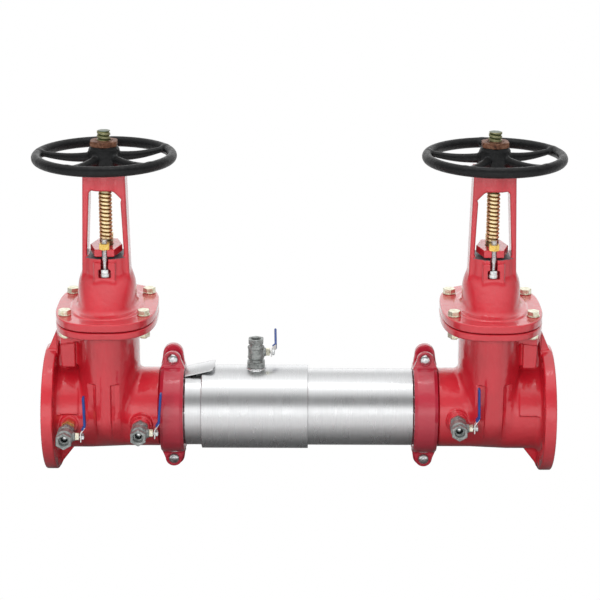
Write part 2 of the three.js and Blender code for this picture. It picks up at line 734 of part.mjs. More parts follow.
// One housing half: a channel ring whose lips sit in the pipe grooves, with two bolt pads.
function couplingHalf(name, x, side) {
  const { halfWidth, outer, boltZ, padFront, frontTop, rearTop } = COUPLING;
  const padTop = side < 0 ? frontTop : rearTop;
  const lip = PIPE.grooveRadius + 0.6;
  const channel = PIPE.radius + 9.6;
  const ring = revolve(
    [
      [lip, x - 23.5],
      [outer - 4, x - halfWidth],
      [outer, x - halfWidth + 6],
      [outer, x + halfWidth - 6],
      [outer - 4, x + halfWidth],
      [lip, x + 23.5],
      [lip, x + 18.5],
      [channel, x + 16],
      [channel, x - 16],
      [lip, x - 18.5],
    ],
    'x',
  );
  const ys = (near, far) => (side < 0 ? [-far, -near] : [near, far]);
  const halfSpace = block([x - 40, x + 40], ys(1, 160), [-160, 160]);
  const pads = [-1, 1].map((up) => {
    const outline = [
      [x - halfWidth, up * 90],
      [x + halfWidth, up * 90],
      [x + halfWidth - 3, up * (padTop - 15)],
      [x + 14, up * padTop],
      [x - 14, up * padTop],
      [x - halfWidth + 3, up * (padTop - 15)],
    ];
    return slab('y', outline, ...ys(side < 0 ? 9 : 6, padFront));
  });
  const clear = bar('x', channel, x - 16, x + 16, [0, 0], ROUND);
  const lipClear = bar('x', PIPE.radius + 4, x - 40, x + 40, [0, 0], ROUND);
  const holes = [-1, 1].map((up) => bar('y', 7.2, -40, 40, [x, up * boltZ], TINY));
  const trimmedPads = joined(...pads).subtract(clear).subtract(lipClear);
  return piece(name, cut(joined(ring.intersect(halfSpace), trimmedPads), ...holes), redEnamel);
}

// Button-head track bolt from the -Y side, with its nut behind.
function couplingBolt(name, x, up) {
  const at = [x, up * COUPLING.boltZ];
  const seat = COUPLING.padFront + GAP;
  const button = bar('y', 12, -seat - 8, -seat, at, SMALL);
  const shank = bar('y', 6.4, -seat - 1, seat + 17, at, TINY);
  const nut = hexBar('y', 22, seat, seat + 12, at);
  return piece(name, joined(button, shank, nut), zinc);
}

// ---------------------------------------------------------------- test cocks
// Built about the ball's centre, with the mouth on -Y, the ball's stem on +X and the lever up.

function cockBody(name, rear) {
  const { half, barrel, hex, bore, ball } = COCK;
  const profile = [
    [0, -half + 8],
    [barrel - 3, -half + 8],
    [barrel, -half + 14],
    [barrel, half - 12],
    [barrel - 2, half - 8],
    [0, half - 8],
  ];
  const forms = [
    revolve(profile, 'y', SMALL),
    hexBar('y', hex, -half, -half + 10, [0, 0]),
    bar('x', 8.5, 10, COCK.leverX - 11, [0, 0], SMALL),
  ];
  const cavities = [
    bar('y', bore, -half - 1, half + 15, [0, 0], 12),
    bar('y', 10.5, -half - 1, -half + 12, [0, 0], SMALL),
    bar('y', ball + 1.1, -ball - 0.8, ball + 0.8, [0, 0], SMALL),
    bar('x', 4.6, 0, 30, [0, 0], 12),
  ];
  const rearFace = rear === 'bushing' ? half + 2 : half;
  const rearHex = rear === 'bushing' ? 38 : hex;
  forms.push(hexBar('y', rearHex, half - 10, rearFace));
  if (rear === 'female') {
    cavities.push(bar('y', NIPPLE.outer + 0.5, half - NIPPLE.inside - 1, half + 1));
  } else {
    forms.push(bar('y', 10, rearFace - 1, rearFace + 12));
  }
  return piece(name, cut(joined(...forms), ...cavities), darkSteel);
}

// Ball with its stem. The hole through it lies along the stem's other cross axis when shut.
function cockBall(name) {
  const sphere = toSolid(new THREE.IcosahedronGeometry(COCK.ball, 1));
  const shank = bar('x', 4.1, 8, COCK.leverX + 9, [0, 0], 12);
  const waterway = bar('z', COCK.bore, -20, 20, [0, 0], 12);
  return piece(name, cut(joined(sphere, shank), waterway), zinc);
}

// Lever: bent flat bar with a dipped grip.
function cockLever(name) {
  const x = COCK.leverX;
  const strip = [
    [x, -9],
    [x + 2.4, -9],
    [x + 2.4, 7],
    [x + 11.4, 21],
    [x + 11.4, 38],
    [x + 9, 38],
    [x + 9, 22],
    [x, 9],
  ];
  const grip = [[x + 6.4, 17], [x + 10, 15], [x + 13, 21], [x + 11.5, 90], [x + 6.8, 90], [x + 7.4, 24]];
  const solid = cut(
    joined(slab('y', strip, -6.5, 6.5), slab('y', grip, -8, 8)),
    bar('x', 4.5, x - 1, x + 4, [0, 0], 12),
  );
  return piece(name, solid, blueVinyl);
}

function testCock({ name, x, y, z, rear, upright }) {
  const group = new THREE.Group();
  group.position.set(x, y, z);
  if (upright) group.rotation.x = -Math.PI / 2;
  group.add(cockBody(`${name}_body`, upright ? 'bushing' : rear));
  const handle = new THREE.Group();
  if (upright) handle.rotation.x = LEVER_SLACK;
  handle.add(cockBall(`${name}_ball`));
  handle.add(cockLever(`${name}_lever`));
  group.add(handle);
  return group;
}

// Brass nipple with a hexagon collar, which carries the first test cock clear of the flange.
function brassNipple(cock) {
  const outerEnd = cock.y + COCK.half - NIPPLE.inside;
  const across = [cock.x, cock.z];
  const [collarFrom, collarTo] = [-112, -97];
  const solid = cut(
    joined(
      bar('y', NIPPLE.outer, outerEnd, -80, across),
      hexBar('y', NIPPLE.collar, collarFrom, collarTo, across),
    ),
    bar('y', NIPPLE.inner, outerEnd - 1, -79, across),
  );
  return piece('test_cock_1_nipple', solid, brass);
}

// ---------------------------------------------------------------- assembly

// A tap in a valve's own frame, from the test cock it serves.
function tapFor(cock, valveX, facing) {
  const x = facing * -1 * (cock.x - valveX);
  const onNipple = cock.rear === 'female';
  return {
    x,
    z: cock.z,
    facing,
    face: onNipple ? 94 : Math.abs(cock.y) - BOSS_FACE,
    thread: onNipple ? NIPPLE.outer + 0.5 : TAP.thread,
    depth: onNipple ? 15 : 13,
  };
}

const backflowPreventer = new THREE.Group();

const inletValve = gateValve('inlet', {
  taps: [tapFor(COCKS[0], -STEM_X, -1), tapFor(COCKS[1], -STEM_X, -1)],
  firstSpoke: 172,
});
inletValve.position.x = -STEM_X;

const outletValve = gateValve('outlet', {
  taps: [tapFor(COCKS[3], STEM_X, 1)],
  firstSpoke: 168 - 180,
});
outletValve.position.x = STEM_X;
outletValve.rotation.z = Math.PI;

backflowPreventer.add(inletValve, outletValve);
backflowPreventer.add(housingTube(), accessSleeve(COCKS[2]), sleeveStop());
backflowPreventer.add(sleeveSeal('sleeve_seal_upstream', SLEEVE.from + SEAL.inset));
backflowPreventer.add(sleeveSeal('sleeve_seal_downstream', SLEEVE.to - SEAL.inset));

for (const { name, seat } of CHECKS) {
  backflowPreventer.add(checkSeat(`${name}_seat`, seat));
  backflowPreventer.add(checkFlap(`${name}_flap`, seat));
  backflowPreventer.add(flapSeal(`${name}_flap_seal`, seat));
  backflowPreventer.add(flapSpring(`${name}_spring`, seat));
}

for (const [prefix, x] of [['inlet', -COUPLING_X], ['outlet', COUPLING_X]]) {
  backflowPreventer.add(couplingHalf(`${prefix}_coupling_front`, x, -1));
  backflowPreventer.add(couplingHalf(`${prefix}_coupling_rear`, x, 1));
  backflowPreventer.add(couplingGasket(`${prefix}_coupling_gasket`, x));
  backflowPreventer.add(couplingBolt(`${prefix}_coupling_bolt_top`, x, 1));
  backflowPreventer.add(couplingBolt(`${prefix}_coupling_bolt_bottom`, x, -1));
}

for (const cock of COCKS) backflowPreventer.add(testCock(cock));
backflowPreventer.add(brassNipple(COCKS[0]));

export default backflowPreventer;
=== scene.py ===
"""Looks of a double check backflow preventer: two red gate valves on a stainless check housing.

Shapes are written in millimetres as distance functions, meshed finely, and placed in metres on the
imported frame. A valve's shapes are drawn about its own stem axis, with the pipe flange on -X.
"""

import json
import math

import bpy
import numpy as np
import openvdb
from mathutils import Matrix, Vector


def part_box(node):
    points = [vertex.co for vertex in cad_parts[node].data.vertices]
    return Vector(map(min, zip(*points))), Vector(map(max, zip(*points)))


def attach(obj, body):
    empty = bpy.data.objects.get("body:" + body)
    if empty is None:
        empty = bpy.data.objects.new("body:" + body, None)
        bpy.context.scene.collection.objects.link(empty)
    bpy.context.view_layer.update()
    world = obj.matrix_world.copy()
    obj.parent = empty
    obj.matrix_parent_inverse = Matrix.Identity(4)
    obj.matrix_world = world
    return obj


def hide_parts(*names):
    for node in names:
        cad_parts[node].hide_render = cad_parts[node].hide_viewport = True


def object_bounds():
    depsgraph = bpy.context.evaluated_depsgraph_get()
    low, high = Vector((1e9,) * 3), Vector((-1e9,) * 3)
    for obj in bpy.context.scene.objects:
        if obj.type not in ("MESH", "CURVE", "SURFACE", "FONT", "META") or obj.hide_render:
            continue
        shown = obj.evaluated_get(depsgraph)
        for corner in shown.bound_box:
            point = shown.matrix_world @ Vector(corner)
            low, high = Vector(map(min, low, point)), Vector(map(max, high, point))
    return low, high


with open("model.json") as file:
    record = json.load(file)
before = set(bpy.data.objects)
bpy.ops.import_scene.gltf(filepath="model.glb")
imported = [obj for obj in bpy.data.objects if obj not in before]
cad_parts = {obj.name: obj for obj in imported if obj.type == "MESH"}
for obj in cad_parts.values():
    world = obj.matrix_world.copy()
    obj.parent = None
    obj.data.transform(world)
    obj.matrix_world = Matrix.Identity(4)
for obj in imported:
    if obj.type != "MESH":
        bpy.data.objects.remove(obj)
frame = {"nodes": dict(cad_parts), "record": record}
cad_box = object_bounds()

# ---------------- driving dimensions, mm

MM = 0.001


def node_box(node):
    """A CAD node's lowest and highest corners in millimetres."""
    low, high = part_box(node)
    return [value / MM for value in low], [value / MM for value in high]


STEM_LOW, STEM_HIGH = node_box("outlet_stem")
STEM_X = (STEM_LOW[0] + STEM_HIGH[0]) / 2
STEM_TOP = STEM_HIGH[2]
HALF_LENGTH = node_box("outlet_valve_body")[1][0]
TUBE_END = node_box("housing_tube")[1][0]
SLEEVE_LOW, SLEEVE_HIGH = node_box("access_sleeve")
COUPLING_X = sum(box[0] for box in node_box("outlet_coupling_front")) / 2

GAP = 0.3
FLANGE_THICK = 25.4
END_GAP = COUPLING_X - TUBE_END
FACE_X = STEM_X - HALF_LENGTH
BACK_X = FACE_X + FLANGE_THICK
END_X = STEM_X - COUPLING_X - END_GAP

PIPE_RADIUS = 84.15
PIPE_BORE = PIPE_RADIUS - 7.1
GROOVE_RADIUS = 82
GROOVE_WIDTH = 9.5
LAND_WIDTH = 15.9
FLANGE_RADIUS = 137.5
BOLT_CIRCLE = 120.65
JOINT_X, JOINT_Y, JOINT_POWER = 109, 153, 2.8
JOINT_BOLTS = [(84, 81), (84, -81), (-84, 81), (-84, -81)]
PLATE_LOW, PLATE_TOP = 202, 217
BONNET_LOW, BONNET_TOP = 219.2, 236.4
BOX_TOP = 350
GLAND_LOW, GLAND_TOP = 355, 371
GLAND_BOLT_Y = 42.5
WINDOW_TOP, YOKE_TOP = 496, 545
HUB_TOP, WHEEL_NUT_TOP = 588.2, 600
WHEEL_LEVEL, RIM_RADIUS, RIM_TUBE = 566, 144.2, 10.5
STEM_RADIUS = 14.3
STEM_PITCH = 25.4 / 3
SLEEVE_INNER, SLEEVE_OUTER = 84.7, 91.5
EAR_Z = 115.5
COCK_HALF = 31
LEVER_X = 32.5
LEVER_SLACK = math.radians(12)
CHECK_SEATS = {"check_1": -215, "check_2": 14}
COCKS = {
    "test_cock_1": (-496.7, -164, -9),
    "test_cock_2": (-341, -142.5, -9),
    "test_cock_3": (-94, 0, 126.5),
    "test_cock_4": (343, -131, 0),
}
BOSS_FACE = 33

# ---------------- distance functions
# Each maker returns a function of x, y, z arrays that is negative inside the shape.

ORDER = {"x": (1, 2, 0), "y": (0, 2, 1), "z": (0, 1, 2)}


def along(axis, x, y, z):
    """The two cross coordinates, then the one along the axis."""
    coordinates = (x, y, z)
    return [coordinates[k] for k in ORDER[axis]]


def corner(a, b):
    """Distance to where two half spaces meet, exact outside the corner."""
    return np.minimum(np.maximum(a, b), 0) + np.hypot(np.maximum(a, 0), np.maximum(b, 0))


def between(w, start, end):
    return np.abs(w - (start + end) / 2) - (end - start) / 2


def rise(value, width):
    """0 below nought, 1 above the width, and even in between."""
    return np.clip(value / width, 0, 1)


def mirrored(points):
    """Closes half an outline with its mirror image across the first axis."""
    return points + [(u, -v) for u, v in reversed(points)]


def rod(axis, radius, start, end, across=(0, 0), edge=1.0):
    """Round bar with rounded ends."""
    def distance(x, y, z):
        u, v, w = along(axis, x, y, z)
        side = np.hypot(u - across[0], v - across[1]) - radius
        return corner(side + edge, between(w, start, end) + edge) - edge
    return distance


def block(xs, ys, zs, edge=1.0):
    def distance(x, y, z):
        flat = corner(between(x, *xs) + edge, between(y, *ys) + edge)
        return corner(flat, between(z, *zs) + edge) - edge
    return distance


def hexagon(axis, flats, start, end, across=(0, 0), chamfer=0.6, edge=0.4):
    """Hexagon bar, its corners turned down at both ends as a nut's are."""
    slope = math.radians(30)
    turned_radius = flats / 2 * (1 + chamfer * 0.1)

    def distance(x, y, z):
        u, v, w = along(axis, x, y, z)
        u, v = np.abs(u - across[0]), np.abs(v - across[1])
        sides = np.maximum(u, u * 0.5 + v * math.sqrt(0.75)) - flats / 2
        ends = between(w, start, end)
        cone = (np.hypot(u, v) - turned_radius) * math.sin(slope) + ends * math.cos(slope)
        return np.maximum(corner(sides + edge, ends + edge) - edge, cone)
    return distance


def outline_distance(u, v, points):
    """Signed distance to a closed outline."""
    nearest, inside = None, None
    for (ax, ay), (bx, by) in zip(points, points[1:] + points[:1]):
        ex, ey = bx - ax, by - ay
        wx, wy = u - ax, v - ay
        t = np.clip((wx * ex + wy * ey) / (ex * ex + ey * ey), 0, 1)
        square = (wx - ex * t) ** 2 + (wy - ey * t) ** 2
        crossing = ((ay > v) != (by > v)) & (u < ex * (v - ay) / (ey or 1) + ax)
        nearest = square if nearest is None else np.minimum(nearest, square)
        inside = crossing if inside is None else inside ^ crossing
    return np.where(inside, -1, 1) * np.sqrt(nearest)


def prism(axis, outline, start, end, edge=1.0):
    """An outline pushed along an axis: [y, z] points along x, [x, z] along y, [x, y] along z."""
    def distance(x, y, z):
        u, v, w = along(axis, x, y, z)
        side = outline_distance(u, v, outline)
        return corner(side + edge, between(w, start, end) + edge) - edge
    return distance


def turned(axis, profile, across=(0, 0), edge=0.0):
    """A solid of revolution from [radius, height] points that close on the axis or on themselves."""
    outline = list(profile)
    if profile[0][0] == 0:
        outline += [(-radius, height) for radius, height in reversed(profile) if radius > 0]

    def distance(x, y, z):
        u, v, w = along(axis, x, y, z)
        radius = np.hypot(u - across[0], v - across[1])
        return outline_distance(radius, w, outline) - edge
    return distance


def oval(rings, power=2, edge=1.0):
    """A tower of superellipses, each ring [height, half width in x, half width in y]."""
    heights, halves_x, halves_y = zip(*rings)

    def distance(x, y, z):
        a, b = np.interp(z, heights, halves_x), np.interp(z, heights, halves_y)
        u, v = np.abs(x) / a + 1e-6, np.abs(y) / b + 1e-6
        size = (u ** power + v ** power) ** (1 / power)
        slope = size ** (1 - power) * np.hypot(u ** (power - 1) / a, v ** (power - 1) / b)
        side = (size - 1) / slope
        return corner(side + edge, between(z, heights[0], heights[-1]) + edge) - edge
    return distance


def strip(points, thickness, half_width, edge=0.8):
    """A flat bar bent along [x, z] points, as wide as half_width each side in y."""
    def distance(x, y, z):
        nearest = None
        for (ax, az), (bx, bz) in zip(points, points[1:]):
            ex, ez = bx - ax, bz - az
            t = np.clip(((x - ax) * ex + (z - az) * ez) / (ex * ex + ez * ez), 0, 1)
            gap = np.hypot(x - ax - ex * t, z - az - ez * t)
            nearest = gap if nearest is None else np.minimum(nearest, gap)
        side = nearest - thickness / 2
        return corner(side + edge, np.abs(y) - half_width + edge) - edge
    return distance


def soft_least(a, b, fillet):
    """The lesser of two distances, with a fillet where they meet."""
    if fillet == 0:
        return np.minimum(a, b)
    near = np.maximum(fillet - np.abs(a - b), 0) / fillet
    return np.minimum(a, b) - near * near * fillet / 4


def join(fillet, *shapes):
    def distance(x, y, z):
        whole = shapes[0](x, y, z)
        for shape in shapes[1:]:
            whole = soft_least(whole, shape(x, y, z), fillet)
        return whole
    return distance


def carve(shape, fillet, *tools):
    def distance(x, y, z):
        rest = -shape(x, y, z)
        for tool in tools:
            rest = soft_least(rest, tool(x, y, z), fillet)
        return -rest
    return distance


def common(*shapes):
    return lambda x, y, z: np.maximum.reduce(
        np.broadcast_arrays(*[shape(x, y, z) for shape in shapes]))


def screw(axis, radius, depth, pitch, start, end, across=(0, 0), hand=1, crest=0.3, edge=0.5):
    """A threaded bar. hand is 1 for a right-hand thread and -1 for a left-hand one."""
    def distance(x, y, z):
        u, v, w = along(axis, x, y, z)
        u, v = u - across[0], v - across[1]
        turn = np.arctan2(v, u) / (2 * math.pi) * (-1 if axis == "y" else 1)
        phase = (w / pitch - hand * turn) % 1.0
        flank = rise(np.abs(phase - 0.5) * 2 - crest, 0.85 - crest)
        side = (np.hypot(u, v) - radius + depth * flank) * 0.9
        return corner(side + edge, between(w, start, end) + edge) - edge
    return distance


# ---------------- meshes

def slope_at(shape, points, step=0.02):
    """Gradient of a distance function at points."""
    x, y, z = points.T
    columns = []
    for dx, dy, dz in ((step, 0, 0), (0, step, 0), (0, 0, step)):
        rise = shape(x + dx, y + dy, z + dz) - shape(x - dx, y - dy, z - dz)
        columns.append(rise / (2 * step))
    return np.stack(columns, axis=1)


def cast(shape, low, high, cell):
    """Meshes a shape inside a box, with every point drawn onto its true surface."""
    margin = 3 * cell
    lines = [np.arange(a - margin, b + margin + cell, cell) for a, b in zip(low, high)]
    x, y, z = np.meshgrid(*lines, indexing="ij", sparse=True)
    whole = np.broadcast_to(shape(x, y, z), [len(line) for line in lines])
    field = np.clip(whole, -margin, margin).astype(np.float32)
    grid = openvdb.FloatGrid(margin)
    grid.copyFromArray(field)
    points, faces = grid.convertToQuads(isovalue=0)
    points = points.astype(float) * cell + [line[0] for line in lines]
    for _ in range(3):
        slope = slope_at(shape, points)
        size = np.maximum((slope ** 2).sum(axis=1), 0.05)
        move = slope * (shape(*points.T) / size)[:, None]
        reach = np.linalg.norm(move, axis=1, keepdims=True)
        points -= move * np.minimum(1, 0.6 * cell / np.maximum(reach, 1e-9))
    slope = slope_at(shape, points)
    normals = slope / np.maximum(np.linalg.norm(slope, axis=1, keepdims=True), 1e-9)
    a, b, c, _ = (points[faces[:, k]] for k in range(4))
    facing = (np.cross(b - a, c - a) * normals[faces[:, 0]]).sum()
    if facing < 0:
        faces = faces[:, ::-1]
    return points, faces, normals


def around(x, y, z, turn=0.0, axis="Z"):
    """Placement of a local form: turned about an axis through its origin, then moved."""
    return Matrix.Translation((x, y, z)) @ Matrix.Rotation(turn, 4, axis)


HERE = Matrix.Identity(4)
INLET = around(-STEM_X, 0, 0)
OUTLET = around(STEM_X, 0, 0, math.pi)
VALVES = {"inlet": INLET, "outlet": OUTLET}
SIDES = {"inlet": -1, "outlet": 1}


def show(name, form, place, material, body="root", node=None):
    """Makes a piece of a form, in metres, and hands it to the frame."""
    points, faces, normals = form
    matrix = np.array(place)
    world = (points @ matrix[:3, :3].T + matrix[:3, 3]) * MM
    mesh = bpy.data.meshes.new(name)
    mesh.from_pydata(world.tolist(), [], faces.tolist())
    mesh.polygons.foreach_set("use_smooth", [True] * len(mesh.polygons))
    mesh.normals_split_custom_set_from_vertices((normals @ matrix[:3, :3].T).tolist())
    mesh.materials.append(material)
    piece = bpy.data.objects.new(name, mesh)
    bpy.context.scene.collection.objects.link(piece)
    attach(piece, body)
    if node:
        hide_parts(node)
    return piece


# ---------------- materials

def linear(hex_colour):
    """A screen colour such as c8404a, as the linear colour that shaders take."""
    channels = [int(hex_colour[k:k + 2], 16) / 255 for k in (0, 2, 4)]
    return [((c + 0.055) / 1.055) ** 2.4 if c > 0.04 else c / 12.92 for c in channels] + [1]


def add_node(tree, kind, **settings):
    """A new shader node with some of its settings made."""
    node = tree.nodes.new("ShaderNode" + kind)
    for name, value in settings.items():
        setattr(node, name, value)
    return node


def feed(tree, node, *inputs):
    """Fills a node's inputs in order, each with a value or with another node's output."""
    for socket, value in zip(node.inputs, inputs):
        if isinstance(value, bpy.types.NodeSocket):
            tree.links.new(value, socket)
        else:
            socket.default_value = value
    return node


def maths(tree, operation, *inputs):
    return feed(tree, add_node(tree, "Math", operation=operation), *inputs).outputs["Value"]


def vector_maths(tree, operation, *inputs):
    return feed(tree, add_node(tree, "VectorMath", operation=operation), *inputs).outputs


def map_range(tree, value, start, end, low, high):
    """Maps the range from start to end onto the one from low to high."""
    return feed(tree, add_node(tree, "MapRange"), value, start, end, low, high).outputs["Result"]


class Paint:
    """A material with a few short ways to add nodes to it."""

    def __init__(self, name, colour, roughness, **inputs):
        self.material = bpy.data.materials.new(name)
        self.material.use_nodes = True
        self.tree = self.material.node_tree
        self.nodes = self.tree.nodes
        self.links = self.tree.links
        self.shader = self.nodes["Principled BSDF"]
        self.shader.inputs["Base Color"].default_value = linear(colour)
        self.shader.inputs["Roughness"].default_value = roughness
        for socket, value in inputs.items():
            self.shader.inputs[socket.replace("_", " ")].default_value = value
        self.place = add_node(self.tree, "TexCoord").outputs["Object"]

    def noise(self, scale, detail=3, stretch=(1, 1, 1)):
        """Noise over the object, in waves per metre."""
        mapping = add_node(self.tree, "Mapping")
        mapping.inputs["Scale"].default_value = stretch
        texture = add_node(self.tree, "TexNoise")
        texture.inputs["Scale"].default_value = scale
        texture.inputs["Detail"].default_value = detail
        self.links.new(self.place, mapping.inputs["Vector"])
        self.links.new(mapping.outputs["Vector"], texture.inputs["Vector"])
        return texture.outputs["Fac"]

    def spread(self, value, low, high, start=0.3, end=0.7):
        """Maps a value's usual range onto another."""
        return map_range(self.tree, value, start, end, low, high)

    def colours(self, value, stops):
        """Colours a value by [position, colour] stops."""
        ramp = add_node(self.tree, "ValToRGB")
        first, last = ramp.color_ramp.elements
        first.position, first.color = stops[0][0], linear(stops[0][1])
        last.position, last.color = stops[-1][0], linear(stops[-1][1])
        for position, colour in stops[1:-1]:
            ramp.color_ramp.elements.new(position).color = linear(colour)
        self.links.new(value, ramp.inputs["Fac"])
        self.links.new(ramp.outputs["Color"], self.shader.inputs["Base Color"])
        return self

    def mottle(self, scale, *stops, detail=3):
        """Colours the object in patches, scale of them to the metre."""
        return self.colours(self.noise(scale, detail), stops)

    def grain(self, scale, detail, depth):
        """Ends a material with one layer of bumps."""
        return self.bumps((self.noise(scale, detail), depth)).material

    def height(self):
        """Level above the pipe axis."""
        return feed(self.tree, add_node(self.tree, "SeparateXYZ"), self.place).outputs["Z"]

    def tint(self, share, colour):
        """Lays another colour over the base colour, by a share from 0 to 1."""
        mix = add_node(self.tree, "Mix", data_type="RGBA")
        base = self.shader.inputs["Base Color"]
        self.links.new(share, mix.inputs["Factor"])
        self.links.new(base.links[0].from_socket, mix.inputs[6])
        mix.inputs[7].default_value = linear(colour)
        self.links.new(mix.outputs[2], base)

    def rough(self, value, low, high):
        self.links.new(self.spread(value, low, high), self.shader.inputs["Roughness"])
        return self

    def bumps(self, *layers):
        """Layers of [height value, depth in metres], one on another."""
        normal = None
        for value, depth in layers:
            bump = add_node(self.tree, "Bump")
            bump.inputs["Strength"].default_value = 1
            bump.inputs["Distance"].default_value = depth
            self.links.new(value, bump.inputs["Height"])
            if normal:
                self.links.new(normal, bump.inputs["Normal"])
            normal = bump.outputs["Normal"]
        self.links.new(normal, self.shader.inputs["Normal"])
        if self.shader.inputs["Coat Weight"].default_value > 0:
            self.links.new(normal, self.shader.inputs["Coat Normal"])
        return self

    def radius_from(self, x, y, z, skip):
        """Distance from an axis through a point. skip names the axis, which is left out."""
        across = [0 if axis == skip else 1 for axis in "xyz"]
        shift = vector_maths(self.tree, "SUBTRACT", self.place, (x, y, z))["Vector"]
        flat = vector_maths(self.tree, "MULTIPLY", shift, across)["Vector"]
        return vector_maths(self.tree, "LENGTH", flat)["Value"]


def enamel(name, shades, coat_roughness):
    """Glossy enamel over a casting. shades are its dark, usual and light patches and its mean."""
    paint = Paint(name, shades[3], 0.4, Coat_Weight=1.0, Coat_Roughness=coat_roughness)
    paint.colours(paint.noise(9), list(zip((0.3, 0.5, 0.72), shades)))
    return paint.bumps((paint.noise(70, 2), 0.0008), (paint.noise(420, 2), 0.0001)).material


def red_enamel():
    return enamel("red_enamel", ("bf1c2a", "ca2130", "d22836", "c92030"), 0.06)


def crimson_enamel():
    """The couplings' own paint, a little darker and cooler than the valves'."""
    return enamel("crimson_enamel", ("a8182e", "b11d34", "ba243a", "b01c33"), 0.08)


def wheel_black():
    paint = Paint("wheel_black", "0d0e0f", 0.42, Specular_IOR_Level=0.25)
    paint.mottle(60, (0.3, "0c0d0e"), (0.6, "131415"), (0.8, "1b1d1f"))
    paint.rough(paint.noise(130), 0.32, 0.5)
    return paint.grain(150, 4, 0.0009)


def stem_brass(x):
    """Turned brass: a painted highlight on the crests and painted shade in the thread roots, green where
    grease has stood.
    """
    paint = Paint("stem_brass", "d9b878", 0.3, Metallic=0.65)
    # Painted light: the colour follows the distance from the stem's axis, as painted shade in the thread
    # roots and a painted highlight on the crests.
    depth = paint.radius_from(x * MM, 0, 0, "z")
    paint.colours(
        paint.spread(depth, 0, 1, 0.0118, 0.0142),
        [(0.0, "3d260c"), (0.35, "8a6226"), (0.7, "dcb46c"), (1.0, "f8e4b4")],
    )
    height = paint.height()
    paint.tint(paint.spread(height, 0, 0.75, (WINDOW_TOP - 14) * MM, (WINDOW_TOP - 4) * MM), "1f4a2c")
    paint.tint(paint.spread(height, 0.75, 0, (GLAND_TOP + 8) * MM, (GLAND_TOP + 18) * MM), "1f4a2c")
    return paint.grain(700, 2, 0.00008)


def plain_brass():
    paint = Paint("plain_brass", "dcb070", 0.25, Metallic=0.75)
    paint.mottle(120, (0.3, "c8955a"), (0.6, "e0b478"), (0.8, "f2d4a0"))
    return paint.grain(500, 2, 0.0001)


def nut_brass():
    paint = Paint("nut_brass", "f5cf6c", 0.32, Metallic=0.7)
    paint.mottle(200, (0.3, "e9bd58"), (0.6, "f8d574"), (0.8, "ffe9a8"))
    return paint.grain(600, 2, 0.0001)


def cast_bronze():
    paint = Paint("cast_bronze", "7a5546", 0.5, Metallic=0.75)
    paint.mottle(110, (0.3, "4b342c"), (0.5, "79523f"), (0.75, "9b7560"), detail=4)
    return paint.grain(260, 4, 0.0004)


def brushed_stainless():
    """Rolled stainless: faint lines that run round the tube."""
    paint = Paint("tube_steel", "d6d7d8", 0.3, Metallic=1.0)
    lines = paint.noise(30, 3, (40, 1, 1))
    paint.colours(lines, [(0.25, "cbcccd"), (0.75, "d6d7d8")])
    paint.rough(paint.noise(8, 2, (6, 1, 1)), 0.25, 0.31)
    return paint.bumps((lines, 0.000003)).material


def zinc():
    paint = Paint("zinc", "d8dadb", 0.22, Metallic=1.0)
    paint.mottle(180, (0.3, "b4b7b9"), (0.55, "dcdede"), (0.8, "f4f4f4"))
    return paint.grain(300, 3, 0.0004)


def lever_steel():
    """Bright plated lever, paler than the rest of the hardware."""
    paint = Paint("lever_steel", "f2f2f0", 0.3, Metallic=0.55)
    paint.mottle(200, (0.3, "dededc"), (0.7, "fafaf8"))
    return paint.grain(400, 2, 0.0001)


def yellow_zinc():
    paint = Paint("yellow_zinc", "e4e1c8", 0.3, Metallic=0.9)
    paint.mottle(150, (0.3, "c9c4a4"), (0.55, "e6e3cd"), (0.8, "f8f7ec"))
    return paint.grain(380, 3, 0.0002)


def cast_steel():
    paint = Paint("cast_steel", "8f9391", 0.42, Metallic=0.5)
    paint.mottle(170, (0.3, "6d7270"), (0.55, "969a98"), (0.8, "b4b8b6"), detail=4)
    paint.rough(paint.noise(240), 0.3, 0.48)
    return paint.grain(520, 3, 0.00025)


def bare_iron():
    """Machined face that the enamel doesn't cover."""
    paint = Paint("bare_iron", "6d7276", 0.45, Metallic=0.6)
    paint.mottle(200, (0.3, "565b5f"), (0.7, "83888c"))
    return paint.grain(500, 3, 0.0002)


def black_rubber():
    paint = Paint("black_rubber", "151515", 0.7)
    paint.mottle(140, (0.3, "0f0f0f"), (0.7, "1d1d1c"))
    return paint.grain(300, 3, 0.0002)


def blue_vinyl():
    paint = Paint("blue_vinyl", "0f3a86", 0.4, Coat_Weight=0.2, Coat_Roughness=0.25)
    paint.mottle(110, (0.3, "0c3178"), (0.7, "134294"))
    return paint.grain(240, 2, 0.0003)


def white_tape():
    paint = Paint("white_tape", "e8e8e4", 0.6)
    paint.mottle(300, (0.3, "d2d2cc"), (0.7, "f2f2ee"))
    return paint.grain(900, 2, 0.0002)


RED = red_enamel()
CRIMSON = crimson_enamel()
BLACK = wheel_black()
BRASS = plain_brass()
NUT_BRASS = nut_brass()
BRONZE = cast_bronze()
TUBE_STEEL = brushed_stainless()
ZINC = zinc()
LEVER_STEEL = lever_steel()
YELLOW_ZINC = yellow_zinc()
COCK_STEEL = cast_steel()
IRON = bare_iron()
RUBBER = black_rubber()
BLUE = blue_vinyl()
TAPE = white_tape()

SLOT_FINISH = {
    "red_enamel": RED,
    "black_paint": BLACK,
    "brass": BRASS,
    "bronze": BRONZE,
    "stainless": TUBE_STEEL,
    "zinc_plate": ZINC,
    "dark_steel": COCK_STEEL,
    "rubber": RUBBER,
    "blue_vinyl": BLUE,
}


def finish_cad_nodes():
    """Gives each CAD node the finish of its slot. Those that a piece replaces stay hidden."""
    for part in frame["record"]["subparts"]:
        for place in frame["nodes"][part["node"]].material_slots:
            place.material = SLOT_FINISH[part["material_slot"]]


# ---------------- valve castings

def groove(end, direction):
    """Cutter for the coupling groove of a pipe that ends at "end"."""
    near = end - direction * LAND_WIDTH
    start, stop = sorted((near, near - direction * GROOVE_WIDTH))
    outline = [(GROOVE_RADIUS, start), (100, start), (100, stop), (GROOVE_RADIUS, stop)]
    return turned("x", outline)


